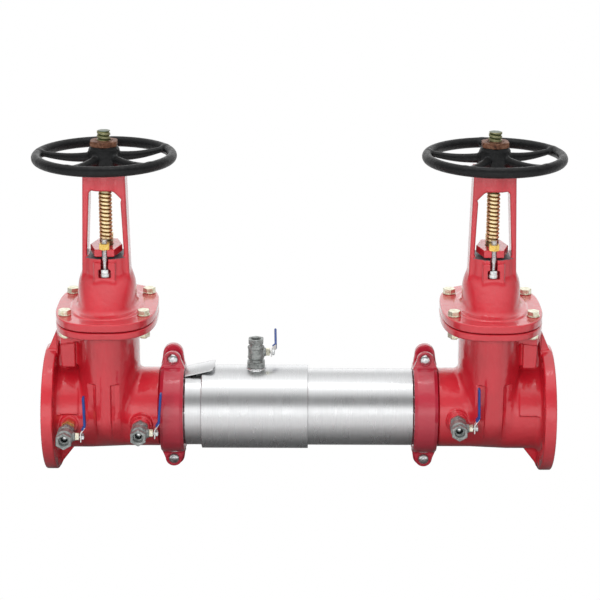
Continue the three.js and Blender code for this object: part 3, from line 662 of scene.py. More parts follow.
def flange_holes():
    for k in range(8):
        angle = (k + 0.5) * math.pi / 4
        at = (BOLT_CIRCLE * math.cos(angle), BOLT_CIRCLE * math.sin(angle))
        yield rod("x", 11, FACE_X - 5, BACK_X + 5, at)


def joint_holes(low, high):
    return [rod("z", 9, low, high, at) for at in JOINT_BOLTS]


def joint_plate(low, high):
    return oval([(low, JOINT_X, JOINT_Y), (high, JOINT_X, JOINT_Y)], JOINT_POWER, 3)


def chest(band):
    """Wedge chest. Below a step on each face, a flat band stands between two tapering hollows."""
    half_x, half_y, bottom, shoulder = 68, 113, 86, 10
    step, foot, hollow, fade, middle = 87, -62, 5, 20, -4

    def distance(x, y, z):
        low = np.minimum(z - shoulder, 0)
        size = np.sqrt((x / half_x) ** 2 + (y / half_y) ** 2 + (low / bottom) ** 2) + 1e-6
        slope = np.sqrt((x / half_x ** 2) ** 2 + (y / half_y ** 2) ** 2 + (low / bottom ** 2) ** 2)
        side = (size - 1) * size / (slope + 1e-9)
        away = np.abs(x - middle)
        beside = rise(away - band, 2) * rise(band + fade - away, 12)
        below = rise(step - z, 2.5) * rise(z - foot, 90)
        side = side + hollow * beside * below
        return corner(side + 1, z - PLATE_LOW - 5)
    return distance


def buttress():
    """Column beside the chest, and a bridge that narrows from it to the rim of the flange."""
    top, in_chest, rim_x, rim_low = PLATE_LOW + 2, -40, FACE_X + 8, 126
    pad = block((-98, -67), (-60, 60), (110, top), 4)
    column = join(1.5, pad, block((-80, in_chest), (-49, 49), (114, top), 2))
    side = [
        (-102, top),
        (rim_x, 141),
        (rim_x, rim_low),
        (BACK_X, rim_low),
        (-104, 164),
        (in_chest, 172),
        (in_chest, top),
    ]
    plan = mirrored([(in_chest, 62), (-96, 62), (BACK_X, 20), (FACE_X, 15)])
    bridge = common(prism("y", side, -70, 70, 2.5), prism("z", plan, 100, 240, 2.5))
    return join(6, column, bridge)


def flange_web():
    """Closes the notch between the buttress and the flange, on the centre plane."""
    outline = [(-60, 60), (BACK_X - 1, 60), (BACK_X - 1, 136), (-106, 168), (-60, 176)]
    return prism("y", outline, -12, 12, 2)


def run_of_pipe():
    """The pipe through the valve, tapering to the grooved end's standard radius."""
    start, step = FACE_X + 4, END_X - 27.5
    profile = [
        (0, start),
        (95, start),
        (95, BACK_X),
        (90, BACK_X + 14),
        (90, -40),
        (86.5, 40),
        (86.5, step),
        (PIPE_RADIUS, step + 1),
        (PIPE_RADIUS, END_X),
        (0, END_X),
    ]
    return turned("x", profile)


def hub_panel():
    """Raised panel on the flange-side hub, from its horizontal edge up."""
    band = rod("x", 93, BACK_X + 6, -62, edge=2)
    return common(band, block((-120, -50), (-100, 100), (14, 120), 2))


def tap_boss(x, z, face, side):
    """Round boss that stands out in three steps."""
    steps = [(24, face - 8), (21.5, face - 4), (19.5, face)]
    rods = []
    for radius, reach in steps:
        start, stop = sorted((side * 60, side * reach))
        rods.append(rod("y", radius, start, stop, (x, z), 1.5))
    return join(1.5, *rods)


def tap_hole(x, z, face, side, thread):
    start, stop = sorted((side * (face + 3), side * (face - 14)))
    inner, outer = sorted((side * 60, side * face))
    return join(0, rod("y", thread, start, stop, (x, z), 0.3), rod("y", 7, inner, outer, (x, z), 0.3))


def valve_body(taps, side, band):
    """The whole body casting, with its waterway, gate cavity, groove, bolt holes and taps."""
    outside = join(
        6,
        join(11, rod("x", FLANGE_RADIUS, FACE_X, BACK_X, edge=3), run_of_pipe()),
        hub_panel(),
    )
    outside = join(12, outside, chest(band))
    outside = join(8, outside, joint_plate(PLATE_LOW, PLATE_TOP), buttress(), flange_web())
    gusset = [(-40, -84), (-77, -88), (BACK_X - 1, -134), (-112, -60), (-40, -60)]
    outside = join(7, outside, prism("y", gusset, -9, 9, 3))
    outside = join(4, outside, *[tap_boss(x, z, face, side) for x, z, face, _ in taps])
    cavity = oval([(-8, 33, 74), (22, 36, 100), (PLATE_TOP + 8, 56, 103)], 3, 3)
    inside = join(6, rod("x", 76, FACE_X - 8, END_X + 8), cavity)
    return carve(
        carve(outside, 2, inside, groove(END_X, 1)),
        0.8,
        *flange_holes(),
        *joint_holes(PLATE_LOW - 12, PLATE_TOP + 5),
        *[tap_hole(x, z, face, side, thread) for x, z, face, thread in taps],
    )


def taps_of(names, side):
    """Where a valve's test cocks enter it, in the valve's own frame."""
    taps = []
    for name in names:
        x, y, z = COCKS[name]
        local_x = -side * (x - side * STEM_X)
        on_nipple = name == "test_cock_1"
        taps.append((local_x, z, 94 if on_nipple else abs(y) - BOSS_FACE, 11 if on_nipple else 10.6))
    return taps


def yoke():
    outline = [(-51.5, 300), (51.5, 300), (45, YOKE_TOP), (-45, YOKE_TOP)]
    window = [
        (-40, BOX_TOP - 4),
        (40, BOX_TOP - 4),
        (34.5, 470),
        (36.5, 476),
        (17, WINDOW_TOP),
        (-27, WINDOW_TOP),
        (-32, 490),
    ]
    arms = carve(prism("y", outline, -28, 28, 5), 5, prism("y", window, -70, 70, 1))
    return join(8, arms, rod("z", 33, WINDOW_TOP, YOKE_TOP, edge=3))


def bolt_slot(side):
    start, stop = sorted((side * 32, side * 60))
    return join(
        0,
        block((-12.6, 12.6), (start, stop), (309.5, 328), 2),
        block((-7.6, 7.6), (start, stop), (310, BOX_TOP + 5), 1),
    )


def dome():
    """Oval dome: upright at its sides, sloping at front and back, rounded over at the top."""
    foot, spring, top = 224, 270, 314
    half_x, half_y, round_in, slope_in = 62.8, 108.5, 16, 54
    slope_foot, slope_height = 232, 70
    rings = []
    for z in np.linspace(foot, top, 46):
        share = max(z - spring, 0) / (top - spring)
        turn = 1 - math.sqrt(1 - 0.93 * share ** 2)
        slope = max(z - slope_foot, 0) / slope_height
        rings.append((z, half_x - round_in * turn, half_y - slope_in * slope ** 1.2))
    return oval(rings, 2.1, 3)


def bonnet():
    """Joint plate, dome, stuffing box and yoke, cast in one."""
    plate = joint_plate(BONNET_LOW, BONNET_TOP)
    pad = oval([(BONNET_TOP - 6, 78, 124), (BONNET_TOP + 3, 77, 123)], 2.4, 2)
    neck = oval([(285, 50, 50), (BOX_TOP, 48, 47)], 2.4, 2)
    boss = block((-23, 23), (-54, 54), (296, BOX_TOP - 7), 3)
    outside = join(10, join(5, plate, pad), dome())
    outside = join(7, join(5, neck, boss), outside, yoke())
    cavity = oval([(212, 56, 103), (240, 53, 90), (286, 46, 58), (301, 28, 36)], 3, 2)
    return carve(
        outside,
        0.8,
        cavity,
        rod("z", 15.1, 285, 330),
        rod("z", 24.1, 317.7, BOX_TOP + 6),
        rod("z", 22.4, WINDOW_TOP - 6, YOKE_TOP + 6),
        rod("z", 26.8, WINDOW_TOP - 6, 505.3),
        bolt_slot(1),
        bolt_slot(-1),
        *joint_holes(BONNET_LOW - 5, BONNET_TOP + 6),
    )


def flat_on_box(points, faces):
    """Which faces lie on the machined top of the stuffing box."""
    centres = points[faces].mean(axis=1)
    return (np.abs(centres[:, 2] - BOX_TOP) < 1.2) & (np.abs(centres[:, 0]) < 41)


def handwheel(first_spoke):
    """Five waved spokes between a hub and a rim. first_spoke is an angle in degrees."""
    def rim(x, y, z):
        return np.hypot(np.hypot(x, y) - RIM_RADIUS, (z - WHEEL_LEVEL + 1) * 0.92) - RIM_TUBE

    def spokes(x, y, z):
        nearest = None
        for k in range(5):
            angle = math.radians(first_spoke + 72 * k)
            u = x * math.cos(angle) + y * math.sin(angle)
            v = np.abs(y * math.cos(angle) - x * math.sin(angle))
            share = rise(u - 25, RIM_RADIUS - 25)
            middle = WHEEL_LEVEL - 3 + 5 * share ** 2 - 4 * np.sin(math.pi * share)
            thick, wide = 11 - 5 * share, 9.5 - 2.5 * share
            bar = np.hypot((z - middle) / thick, v / wide) - 1
            bar = np.maximum(bar * 7, between(u, 20, RIM_RADIUS))
            nearest = bar if nearest is None else np.minimum(nearest, bar)
        return nearest

    hub = join(
        5,
        rod("z", 33, YOKE_TOP + 0.5, HUB_TOP - 5, edge=4),
        rod("z", 30, YOKE_TOP + 4, HUB_TOP, edge=2.5),
    )
    whole = join(7, rim, spokes, hub)
    return carve(whole, 0.5, hexagon("z", 36.6, YOKE_TOP - 5, HUB_TOP + 5, chamfer=9))


def make_valves():
    """The castings and the turning gear of both gate valves."""
    taps = {"inlet": ["test_cock_1", "test_cock_2"], "outlet": ["test_cock_4"]}
    bands = {"inlet": 15.5, "outlet": 19}
    first_spokes = {"inlet": 172, "outlet": 168 - 180}
    wheel_reach = RIM_RADIUS + RIM_TUBE
    bonnet_form = cast(bonnet(), (-JOINT_X, -JOINT_Y, BONNET_LOW), (JOINT_X, JOINT_Y, YOKE_TOP), 2.2)
    on_box = flat_on_box(*bonnet_form[:2])
    for name, place in VALVES.items():
        local_taps = taps_of(taps[name], SIDES[name])
        body = cast(
            valve_body(local_taps, SIDES[name], bands[name]),
            (FACE_X, -JOINT_Y, -FLANGE_RADIUS),
            (END_X, JOINT_Y, PLATE_TOP),
            2.5,
        )
        show(f"{name}_body_casting", body, place, RED, node=f"{name}_valve_body")
        top = show(f"{name}_bonnet_casting", bonnet_form, place, RED, node=f"{name}_bonnet")
        top.data.materials.append(IRON)
        top.data.polygons.foreach_set("material_index", on_box.astype(int))
        wheel = cast(
            handwheel(first_spokes[name]),
            (-wheel_reach, -wheel_reach, YOKE_TOP),
            (wheel_reach, wheel_reach, HUB_TOP),
            1.6,
        )
        show(f"{name}_wheel_casting", wheel, place, BLACK,
             f"{name}_wheel", f"{name}_handwheel")


# ---------------- stems, glands and fasteners

def stem():
    head = rod("z", 22, 68.5, 81.5, edge=1.5)
    shank = rod("z", 13.9, 75, 380, edge=1)
    thread = screw("z", STEM_RADIUS, 2.2, STEM_PITCH, 378, STEM_TOP, hand=-1, crest=0.48, edge=1.2)
    return join(0, head, shank, thread)


def stem_nut():
    foot = WINDOW_TOP + GAP
    outside = join(
        0,
        rod("z", 26, foot, 505, edge=1),
        rod("z", 22, foot, YOKE_TOP + 0.2, edge=0.5),
        hexagon("z", 36, YOKE_TOP - 0.4, HUB_TOP - 0.4),
        screw("z", 17.8, 0.8, 2.5, HUB_TOP - 3, WHEEL_NUT_TOP + 1, hand=-1, edge=0.6),
    )
    return carve(outside, 0.3, rod("z", 14.9, foot - 5, WHEEL_NUT_TOP + 6))


def wheel_nut():
    outside = join(
        0.6,
        hexagon("z", 56.3, HUB_TOP + GAP, WHEEL_NUT_TOP, chamfer=0.4),
        rod("z", 24.5, WHEEL_NUT_TOP - 3, WHEEL_NUT_TOP + 0.4, edge=0.6),
    )
    return carve(outside, 0.4, rod("z", 18.3, HUB_TOP - 5, WHEEL_NUT_TOP + 5))


def gland():
    outline = [(-34.5, 0), (-21, 47), (21, 47), (34.5, 0), (21, -47), (-21, -47)]
    plate = prism("z", outline, GLAND_LOW, GLAND_TOP, 2)
    nose = rod("z", 23.5, BOX_TOP - 4.7, GLAND_LOW + 4, edge=0.6)
    holes = [rod("z", 6.5, GLAND_LOW - 5, GLAND_TOP + 5, (0, y)) for y in (GLAND_BOLT_Y, -GLAND_BOLT_Y)]
    shaft_hole = rod("z", 15, BOX_TOP - 12, GLAND_TOP + 5, edge=0.3)
    return carve(join(1.5, plate, nose), 0.7, shaft_hole, *holes)


def gland_bolt():
    """T-head bolt, drawn about its own axis."""
    head = join(0, hexagon("z", 21, 311, 320, chamfer=0.4), rod("z", 11.4, 319, 328, edge=0.5))
    return join(0, head, screw("z", 6, 0.5, 1.6, 326, 393, edge=0.7))


def gland_nut():
    nut = hexagon("z", 21, GLAND_TOP + GAP, GLAND_TOP + 13)
    return carve(nut, 0.3, rod("z", 6.2, GLAND_TOP - 5, GLAND_TOP + 18))


def bonnet_bolt():
    """Hexagon bolt down through both joint plates, with its nut below, about its own axis."""
    collar = rod("z", 14, BONNET_TOP + 0.2, BONNET_TOP + 2.6, edge=0.8)
    head = join(0.8, hexagon("z", 24, BONNET_TOP + 2.4, BONNET_TOP + 12), collar)
    nut = hexagon("z", 24, PLATE_LOW - 13, PLATE_LOW - 0.4)
    shank = screw("z", 7.8, 0.7, 2.3, PLATE_LOW - 17, BONNET_TOP + 4, edge=0.8)
    return join(0, head, shank, nut)


def make_turning_gear():
    """Stems, yoke nuts, wheel nuts, glands and the bolts of both valves."""
    forms = {
        "stem": cast(stem(), (-22, -22, 68.5), (22, 22, STEM_TOP), 0.95),
        "stem_nut": cast(stem_nut(), (-26, -26, WINDOW_TOP), (26, 26, WHEEL_NUT_TOP + 1), 0.9),
        "wheel_nut": cast(wheel_nut(), (-33, -33, HUB_TOP), (33, 33, WHEEL_NUT_TOP + 1), 0.9),
        "gland": cast(gland(), (-34, -47, BOX_TOP - 5), (34, 47, GLAND_TOP), 1.1),
        "gland_bolt": cast(gland_bolt(), (-13, -13, 310.5), (13, 13, 393), 0.6),
        "gland_nut": cast(gland_nut(), (-12, -12, GLAND_TOP), (12, 12, GLAND_TOP + 13), 0.6),
        "bonnet_bolt": cast(bonnet_bolt(), (-15, -15, PLATE_LOW - 17), (15, 15, BONNET_TOP + 12), 0.9),
    }
    for name, place in VALVES.items():
        brass = stem_brass(SIDES[name] * STEM_X)
        show(f"{name}_threaded_stem", forms["stem"], place, brass, f"{name}_gate", f"{name}_stem")
        show(f"{name}_yoke_nut", forms["stem_nut"], place, BRONZE,
             f"{name}_wheel", f"{name}_stem_nut")
        show(f"{name}_wheel_nut", forms["wheel_nut"], place, BRONZE,
             f"{name}_wheel", f"{name}_handwheel_nut")
        show(f"{name}_gland_follower", forms["gland"], place, RED, node=f"{name}_gland")
        for letter, y in (("a", -GLAND_BOLT_Y), ("b", GLAND_BOLT_Y)):
            at = place @ around(0, y, 0)
            show(f"{name}_gland_stud_{letter}", forms["gland_bolt"], at, ZINC,
                 node=f"{name}_gland_bolt_{letter}")
            show(f"{name}_gland_nut_{letter}", forms["gland_nut"], at, NUT_BRASS)
        for k, (x, y) in enumerate(JOINT_BOLTS, 1):
            at = place @ around(x, y, 0, math.radians(37 * k))
            show(f"{name}_bonnet_bolt_{k}", forms["bonnet_bolt"], at, YELLOW_ZINC)


# ---------------- gates and checks

def wedge():
    """Tapered gate with a seat ring's groove on each face and a slot for the stem's head."""
    disc = rod("x", 75, -26, 26, edge=2)
    upper = block((-26, 26), (-75, 75), (0, 92), 6)
    taper = prism("y", [(-21, -76), (21, -76), (26, 96), (-26, 96)], -90, 90, 2)
    body = common(join(4, disc, upper), taper)
    ribs = block((-8, 8), (-88, 88), (24, 66), 2)
    rings = [turned("x", [(62, x - 2), (70, x - 2), (70, x + 2), (62, x + 2)]) for x in (-22.4, 22.4)]
    return carve(
        join(3, body, ribs),
        1.5,
        block((-60, 60), (-22.6, 22.6), (67.9, 82.1), 0.5),
        block((-60, 60), (-14.9, 14.9), (70, 120), 0.5),
        *rings,
    )


def check_seat(x):
    """Seat ring whose upstream face is at x, with two lugs for the flap's pin."""
    ring = turned("x", [(52, x), (76.4, x), (76.4, x + 16), (52, x + 16)])
    lugs = [block((x + 12, x + 38), ys, (56, 70), 2) for ys in ((-26, -19), (19, 26))]
    return carve(join(2, ring, *lugs), 0.3, rod("y", 4.35, -35, 35, (x + 30, 64)))


def check_flap(x):
    """Flap, arm and pin of the check whose seat starts at x."""
    face = x + 20.3
    disc = rod("x", 56, face, face + 7, (0, -2), 2)
    boss = rod("x", 22, face + 3, face + 9.5, (0, -2), 2)
    arm = block((face + 2, x + 35), (-9, 9), (10, 64), 2)
    barrel = rod("y", 8, -11, 11, (x + 30, 64))
    pin = rod("y", 4, -25.5, 25.5, (x + 30, 64))
    return join(0, join(3, disc, boss, arm, barrel), pin)


def make_inner_parts():
    gate = cast(wedge(), (-26, -88, -76), (26, 88, 96), 2)
    for name, place in VALVES.items():
        show(f"{name}_gate_wedge", gate, place, BRASS, f"{name}_gate", f"{name}_wedge")
    for name, x in CHECK_SEATS.items():
        seat = cast(check_seat(x), (x, -77, -77), (x + 38, 77, 77), 2)
        flap = cast(check_flap(x), (x + 20, -56, -58), (x + 38, 56, 72), 2)
        show(f"{name}_seat_ring", seat, HERE, BRONZE, node=f"{name}_seat")
        show(f"{name}_swing_flap", flap, HERE, BRONZE, f"{name}_clapper", f"{name}_flap")


# ---------------- check housing

def housing_tube():
    """Pipe with a groove near each end and an access port under the sleeve."""
    wall = [(PIPE_BORE, -TUBE_END), (PIPE_RADIUS, -TUBE_END), (PIPE_RADIUS, TUBE_END), (PIPE_BORE, TUBE_END)]
    port = block((-190, -2), (-62, 62), (20, 120), 4)
    return carve(turned("x", wall), 0.5, groove(TUBE_END, 1), groove(-TUBE_END, -1), port)


def access_sleeve():
    x, _, cock_z = COCKS["test_cock_3"]
    start, stop = SLEEVE_LOW[0], SLEEVE_HIGH[0]
    shell = rod("x", SLEEVE_OUTER, start, stop, edge=1.2)
    boss_top = cock_z - BOSS_FACE - GAP
    boss = rod("z", 21, 60, boss_top, (x, 0), 0.8)
    solid = join(3.5, shell, boss)
    inside = rod("x", SLEEVE_INNER, start - 10, stop + 10)
    seals = [
        turned("x", [(80, at - 3), (87.9, at - 3), (87.9, at + 3), (80, at + 3)])
        for at in (start + 7, stop - 7)
    ]
    return carve(solid, 0.3, inside, rod("z", 10.6, 60, boss_top + 5, (x, 0)), *seals)


def sleeve_stop():
    """Curved plate that leans over the sleeve's upstream edge, on two short lugs."""
    low, high, thick = PIPE_RADIUS + 1.3, SLEEVE_OUTER + 8, 3.2
    start, stop, lug = -249, -184, -222
    plate = turned("x", [(low, start), (low + thick, start), (high + thick, stop), (high, stop)])
    outline = mirrored([(start, 33), (stop - 10, 33), (stop - 3, 30), (stop, 23)])
    plan = prism("z", outline, 60, 130, 1)
    lug_end = SLEEVE_LOW[0] - GAP
    foot = turned("x", [(low, lug), (high, lug), (high, lug_end), (low, lug_end)])
    under = turned("x", [(low - 5, start), (low + 1, start), (high + 1, stop), (low - 5, stop)])
    lugs = common(foot, under, block((start, stop), (-11, 11), (60, 120), 1))
    return join(0.5, common(plate, plan), lugs)


def make_housing():
    tube = cast(housing_tube(), (-TUBE_END, -85, -85), (TUBE_END, 85, 85), 2.6)
    show("housing_pipe", tube, HERE, TUBE_STEEL, node="housing_tube")
    sleeve = cast(access_sleeve(), SLEEVE_LOW, SLEEVE_HIGH, 1.9)
    show("sliding_sleeve", sleeve, HERE, TUBE_STEEL, node="access_sleeve")
    stop = cast(sleeve_stop(), (-249, -33, 70), (-184, 33, 103), 0.9)
    show("sleeve_stop_plate", stop, HERE, TUBE_STEEL, node="sleeve_stop")


# ---------------- grooved couplings

def coupling_half(side):
    """Channel ring with an ear at each end. The front ears are thinner and lower."""
    half = 25.5
    ear_radius, ear_rise = (18.5, -1) if side < 0 else (22, 3.5)
    lip = GROOVE_RADIUS + 0.6
    channel = PIPE_RADIUS + 9.6
    ring = turned("x", [
        (lip, -23.5), (93, -half), (97, -half), (101, -18.5), (101, 18.5), (97, half), (93, half),
        (lip, 23.5), (lip, 18.5), (channel, 16), (channel, -16), (lip, -18.5),
    ])
    start, stop = sorted((side * 1, side * 160))
    near, far = sorted((side * (9 if side < 0 else 6), side * 22))
    ears = []
    for up in (1, -1):
        middle = up * (EAR_Z + ear_rise)
        foot = [(-half, up * 80), (half, up * 80), (half, up * 97), (ear_radius, middle),
                (-ear_radius, middle), (-half, up * 97)]
        flank = prism("y", foot, near, far, 2)
        ears.append(join(1, rod("y", ear_radius, near, far, (0, middle), 2), flank))
    belt = common(ring, block((-40, 40), (start, stop), (-160, 160), 1))
    channel_cut = rod("x", channel, -16, 16, edge=0.5)
    lip_cut = rod("x", PIPE_RADIUS + 4, -60, 60)
    ears = carve(join(0, *ears), 0.5, channel_cut, lip_cut)
    cuts = [rod("y", 7.2, -60, 60, (0, up * EAR_Z)) for up in (1, -1)]
    if side < 0:
        cuts += [rod("y", 14, -40, -19.5, (0, up * EAR_Z), 0.8) for up in (1, -1)]
    return carve(join(4, belt, ears), 0.8, *cuts)


def button_bolt():
    """Button-head track bolt on -Y with its nut on +Y, about its own axis."""
    def head(x, y, z):
        return np.maximum(np.hypot(np.hypot(x, z), (y + 19.8) * 1.8) - 12, y + 19.8)

    shank = screw("y", 6.4, 0.6, 2, -26, 39, edge=0.8)
    nut = hexagon("y", 22, 22.3, 34)
    return join(0, head, shank, nut)


def make_couplings():
    halves = {}
    for end, side in (("front", -1), ("rear", 1)):
        low, high = sorted((side * 1, side * 101))
        halves[end] = cast(coupling_half(side), (-25.5, low, -141), (25.5, high, 141), 1.5)
    bolt = cast(button_bolt(), (-13, -32, -13), (13, 39, 13), 0.7)
    for name, side in SIDES.items():
        at = around(side * COUPLING_X, 0, 0)
        for end, form in halves.items():
            show(f"{name}_coupling_{end}_half", form, at, CRIMSON,
                 node=f"{name}_coupling_{end}")
        for level, up in (("top", 1), ("bottom", -1)):
            show(f"{name}_track_bolt_{level}", bolt, at @ around(0, 0, up * EAR_Z), ZINC,
                 node=f"{name}_coupling_bolt_{level}")


# ---------------- test cocks
# Drawn about the ball's centre, with the mouth on -Y, the ball's stem on +X and the lever up.

def cock_body(rear):
    half = COCK_HALF
    forms = [
        rod("y", 17.3, -15, 16, edge=2.5),
        rod("y", 14.5, -22, 24, edge=0.5),
        rod("y", 18.3, -13, -9, edge=1),
        rod("y", 18.3, 9, 13, edge=1),
        hexagon("y", 32, -half, -half + 10, chamfer=0.9),
        rod("x", 9.5, 8, LEVER_X - 11, edge=1),
    ]
    cavities = [
        rod("y", 7.5, -half - 5, half + 20, edge=0.2),
        turned("y", [(0, -half - 5), (11.8, -half - 5), (11.8, -half), (10.4, -half + 1.4),
                     (10.4, -half + 13), (0, -half + 13)]),
        rod("y", 13.5, -13.2, 13.2, edge=1),
        rod("x", 4.6, 0, 40, edge=0.2),
    ]
    bushing = rear == "bushing"
    rear_face = half + 2 if bushing else half
    forms.append(hexagon("y", 38 if bushing else 32, half - 10, rear_face, chamfer=0.9))
    if rear == "female":
        cavities.append(rod("y", 11, half - 11, half + 5, edge=0.2))
    else:
        forms.append(screw("y", 10, 0.9, 1.8, rear_face - 2, rear_face + 11.7, edge=0.6))
    return carve(join(1.2, *forms), 0.4, *cavities)


def cock_ball():
    """Ball with its bore, and the threaded stem that the lever sits on."""
    def ball(x, y, z):
        return np.sqrt(x * x + y * y + z * z) - 12.4

    shank = screw("x", 4.1, 0.35, 1.2, 8, LEVER_X + 9, edge=0.5)
    return carve(join(0, ball, shank), 0.3, rod("z", 7.5, -20, 20, edge=0.2))


def cock_lever():
    x = LEVER_X + 1.2
    bend = [(x, -10), (x, 8), (x + 9, 21.5), (x + 9, 42)]
    plate = strip(bend, 2.4, 6.2, 0.9)
    return carve(plate, 0.2, rod("x", 4.5, LEVER_X - 5, LEVER_X + 8, edge=0.2))


def cock_grip(lean):
    """Dipped grip. lean is how far its tip stands out from the stem's side of the cock."""
    x = LEVER_X + 10.2
    path = [(x - 4.6, 18), (x, 25), (x + 0.3 * lean, 46), (x + 0.7 * lean, 69), (x + lean, 88)]
    grip = strip(path, 5.4, 7.8, 2.4)
    hollow = strip([(x - 9, 8), (x, 21.5), (x, 42)], 2.8, 6.6, 0.9)
    return carve(grip, 0.2, hollow)


def make_test_cocks():
    low, high = (-20, -COCK_HALF, -20), (28, COCK_HALF + 14, 20)
    bodies = {rear: cast(cock_body(rear), low, high, 0.85) for rear in ("female", "male", "bushing")}
    rears = dict(zip(COCKS, ("female", "male", "bushing", "male")))
    ball = cast(cock_ball(), (-13, -13, -13), (LEVER_X + 9, 13, 13), 0.8)
    lever = cast(cock_lever(), (LEVER_X - 2, -8, -13), (LEVER_X + 12, 8, 44), 0.6)
    grip_box = (LEVER_X - 2, -9, 12), (LEVER_X + 22, 9, 92)
    grips = {lean: cast(cock_grip(lean), *grip_box, 0.8) for lean in (-1.5, 5)}
    packing_hexagon = hexagon("x", 15, LEVER_X - 10.7, LEVER_X - 2.5)
    packing_nut = cast(packing_hexagon, (LEVER_X - 11, -9, -9), (LEVER_X - 2, 9, 9), 0.6)
    lever_hexagon = hexagon("x", 13, LEVER_X + 2.7, LEVER_X + 8)
    lever_nut = cast(lever_hexagon, (LEVER_X + 2, -8, -8), (LEVER_X + 9, 8, 8), 0.5)
    tape_start, tape_end = COCK_HALF + 2.2, COCK_HALF + 3.6
    tape = cast(rod("y", 10.9, tape_start, tape_end, edge=0.5), (-11, 33, -11), (11, 35, 11), 0.5)
    for name, at in COCKS.items():
        upright = name == "test_cock_3"
        place = around(*at, -math.pi / 2 if upright else 0, "X")
        handle = place @ Matrix.Rotation(LEVER_SLACK if upright else 0, 4, "X")
        mover = f"{name}_handle"
        body = bodies[rears[name]]
        show(f"{name}_cast_body", body, place, COCK_STEEL, node=f"{name}_body")
        show(f"{name}_packing_nut", packing_nut, place, YELLOW_ZINC)
        show(f"{name}_ball_and_stem", ball, handle, ZINC, mover, f"{name}_ball")
        show(f"{name}_lever_plate", lever, handle, LEVER_STEEL, mover)
        grip = grips[5 if name == "test_cock_2" else -1.5]
        show(f"{name}_grip", grip, handle, BLUE, mover, f"{name}_lever")
        show(f"{name}_lever_nut", lever_nut, handle, ZINC, mover)
        if upright:
            show(f"{name}_thread_tape", tape, place, TAPE)


def make_nipple():
    x, y, z = COCKS["test_cock_1"]
    start = y + COCK_HALF - 10
    outside = join(
        0,
        rod("y", 9.9, start, -80, (x, z), 0.6),
        screw("y", 10.5, 0.8, 1.8, start, start + 13, (x, z)),
        hexagon("y", 26, -112, -97, (x, z), chamfer=1.6),
    )
    tube = carve(outside, 0.3, rod("y", 7, start - 5, -70, (x, z)))
    form = cast(tube, (x - 15, start, z - 15), (x + 15, -80, z + 15), 0.7)
    show("test_cock_1_brass_nipple", form, HERE, BRASS, node="test_cock_1_nipple")


# ---------------- studio

CAMERA_AT = (0.01045, -3.998, 1.4986)
CAMERA_TILT = math.radians(15.563)
CAMERA_AZIMUTH = math.radians(0.127)
CAMERA_ROLL = math.radians(0.145)
SENSOR = 36
FOCAL_LENGTH = 115.66
SHIFT_Y = -0.1031
FLOOR_Z = cad_box[0][2] - 0.001
# Brightness of the studio walls by the angle above the front horizon, in degrees, over the top to
# 180 behind. Negative angles lie below the horizon.
WALLS = [(-180, 1.2), (-90, 0.3), (-12, 0.85), (0, 1.85), (12, 1.7), (26, 0.36), (45, 0.3),
         (58, 1.0), (68, 1.35), (100, 1.4), (123, 1.0), (140, 0.85), (153, 1.3), (180, 1.5)]
SIDE_SHADE = 0.75       # how much darker the studio is straight to each side


def make_camera():
    """Looks along +Y and down, with a slight roll."""
    data = bpy.data.cameras.new("camera")
    data.sensor_width = SENSOR
    data.lens = FOCAL_LENGTH
    data.shift_y = SHIFT_Y
    camera = bpy.data.objects.new("camera", data)
    pan = Matrix.Rotation(CAMERA_AZIMUTH, 4, "Z")
    tilt = Matrix.Rotation(math.pi / 2 - CAMERA_TILT, 4, "X")
    roll = Matrix.Rotation(CAMERA_ROLL, 4, "Z")
    camera.matrix_world = Matrix.Translation(CAMERA_AT) @ pan @ tilt @ roll
    bpy.context.scene.collection.objects.link(camera)
    bpy.context.scene.camera = camera


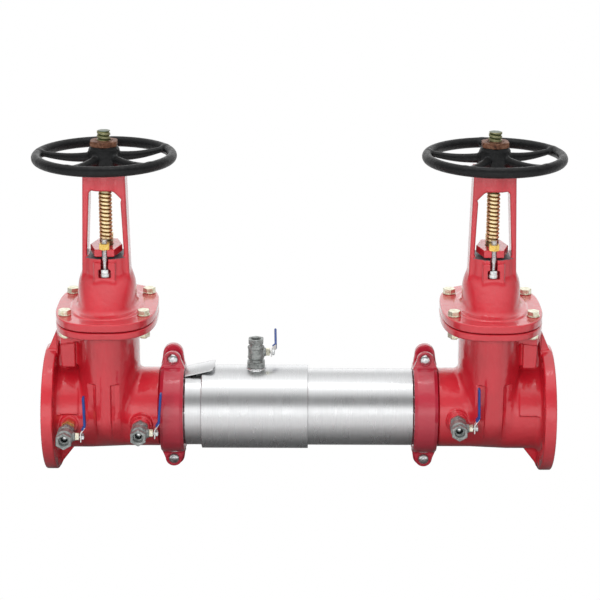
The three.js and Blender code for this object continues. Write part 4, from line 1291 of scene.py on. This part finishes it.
def make_floor():
    """Pale floor. It shows white, and lights the object's underside as a dark grey one would. In the
    object's reflections it shows a painted shadow, darker towards the line under the pipe.
    """
    size = 40
    mesh = bpy.data.meshes.new("floor")
    corners = [(x * size, y * size, FLOOR_Z) for x, y in ((-1, -1), (1, -1), (1, 1), (-1, 1))]
    mesh.from_pydata(corners, [], [(0, 1, 2, 3)])
    floor = bpy.data.objects.new("floor", mesh)
    bpy.context.scene.collection.objects.link(floor)
    paint = Paint("pale_floor", "d8d8d8", 0.9)
    from_axis = paint.radius_from(0, 0, FLOOR_Z, "x")
    # Painted shadow: the floor's colour darkens towards the line under the pipe, where the object's shadow
    # falls.
    paint.colours(paint.spread(from_axis, 0, 1, 0.07, 0.3), [(0.0, "828282"), (1.0, "f6f6f6")])
    white = add_node(paint.tree, "Emission").outputs["Emission"]
    path = add_node(paint.tree, "LightPath").outputs
    paint.tint(path["Is Diffuse Ray"], "2c2c2c")
    mix = add_node(paint.tree, "MixShader")
    feed(paint.tree, mix, path["Is Camera Ray"], paint.shader.outputs["BSDF"], white)
    paint.links.new(mix.outputs["Shader"], paint.nodes["Material Output"].inputs["Surface"])
    mesh.materials.append(paint.material)


def make_world():
    """White studio walls, darker to the sides, with a darker band high in front."""
    world = bpy.data.worlds.new("studio")
    world.use_nodes = True
    bpy.context.scene.world = world
    tree = world.node_tree
    direction = add_node(tree, "TexCoord").outputs["Generated"]
    x, y, z = feed(tree, add_node(tree, "SeparateXYZ"), direction).outputs
    angle = maths(tree, "ARCTAN2", z, maths(tree, "MULTIPLY", y, -1))
    turn = map_range(tree, angle, -math.pi, math.pi, 0, 1)
    brightest = max(level for _, level in WALLS)
    ramp = add_node(tree, "ValToRGB")
    elements = ramp.color_ramp.elements
    elements[0].position, elements[1].position = 0, 1
    for degree, _ in WALLS[1:-1]:
        elements.new((degree + 180) / 360)
    for element, (_, level) in zip(elements, WALLS):
        element.color = (*[level / brightest] * 3, 1)
    feed(tree, ramp, turn)
    shade = maths(tree, "MULTIPLY", x, x)
    strength = maths(tree, "MULTIPLY_ADD", shade, -SIDE_SHADE * brightest, brightest)
    feed(tree, tree.nodes["Background"], ramp.outputs["Color"], strength)


def make_softbox(name, at, toward, size, watts):
    data = bpy.data.lights.new(name, "AREA")
    data.shape = "RECTANGLE"
    data.size, data.size_y = size
    data.energy = watts
    light = bpy.data.objects.new(name, data)
    light.location = at
    light.rotation_euler = (Vector(toward) - Vector(at)).to_track_quat("-Z", "Y").to_euler()
    bpy.context.scene.collection.objects.link(light)
    return light


def make_lights():
    """The fill light shows in no reflection, so it only lifts the paint."""
    make_softbox("overhead", (0, -0.3, 2.6), (0, 0, 0.2), (1.6, 0.3), 6)
    fill = make_softbox("fill", (-0.8, -4.7, 1.9), (0, 0, 0.2), (2.6, 1.4), 135)
    fill.visible_glossy = False


make_camera()
make_floor()
make_world()
make_lights()
finish_cad_nodes()
make_valves()
make_turning_gear()
make_inner_parts()
make_housing()
make_couplings()
make_test_cocks()
make_nipple()
bpy.context.scene.view_settings.view_transform = "Standard"
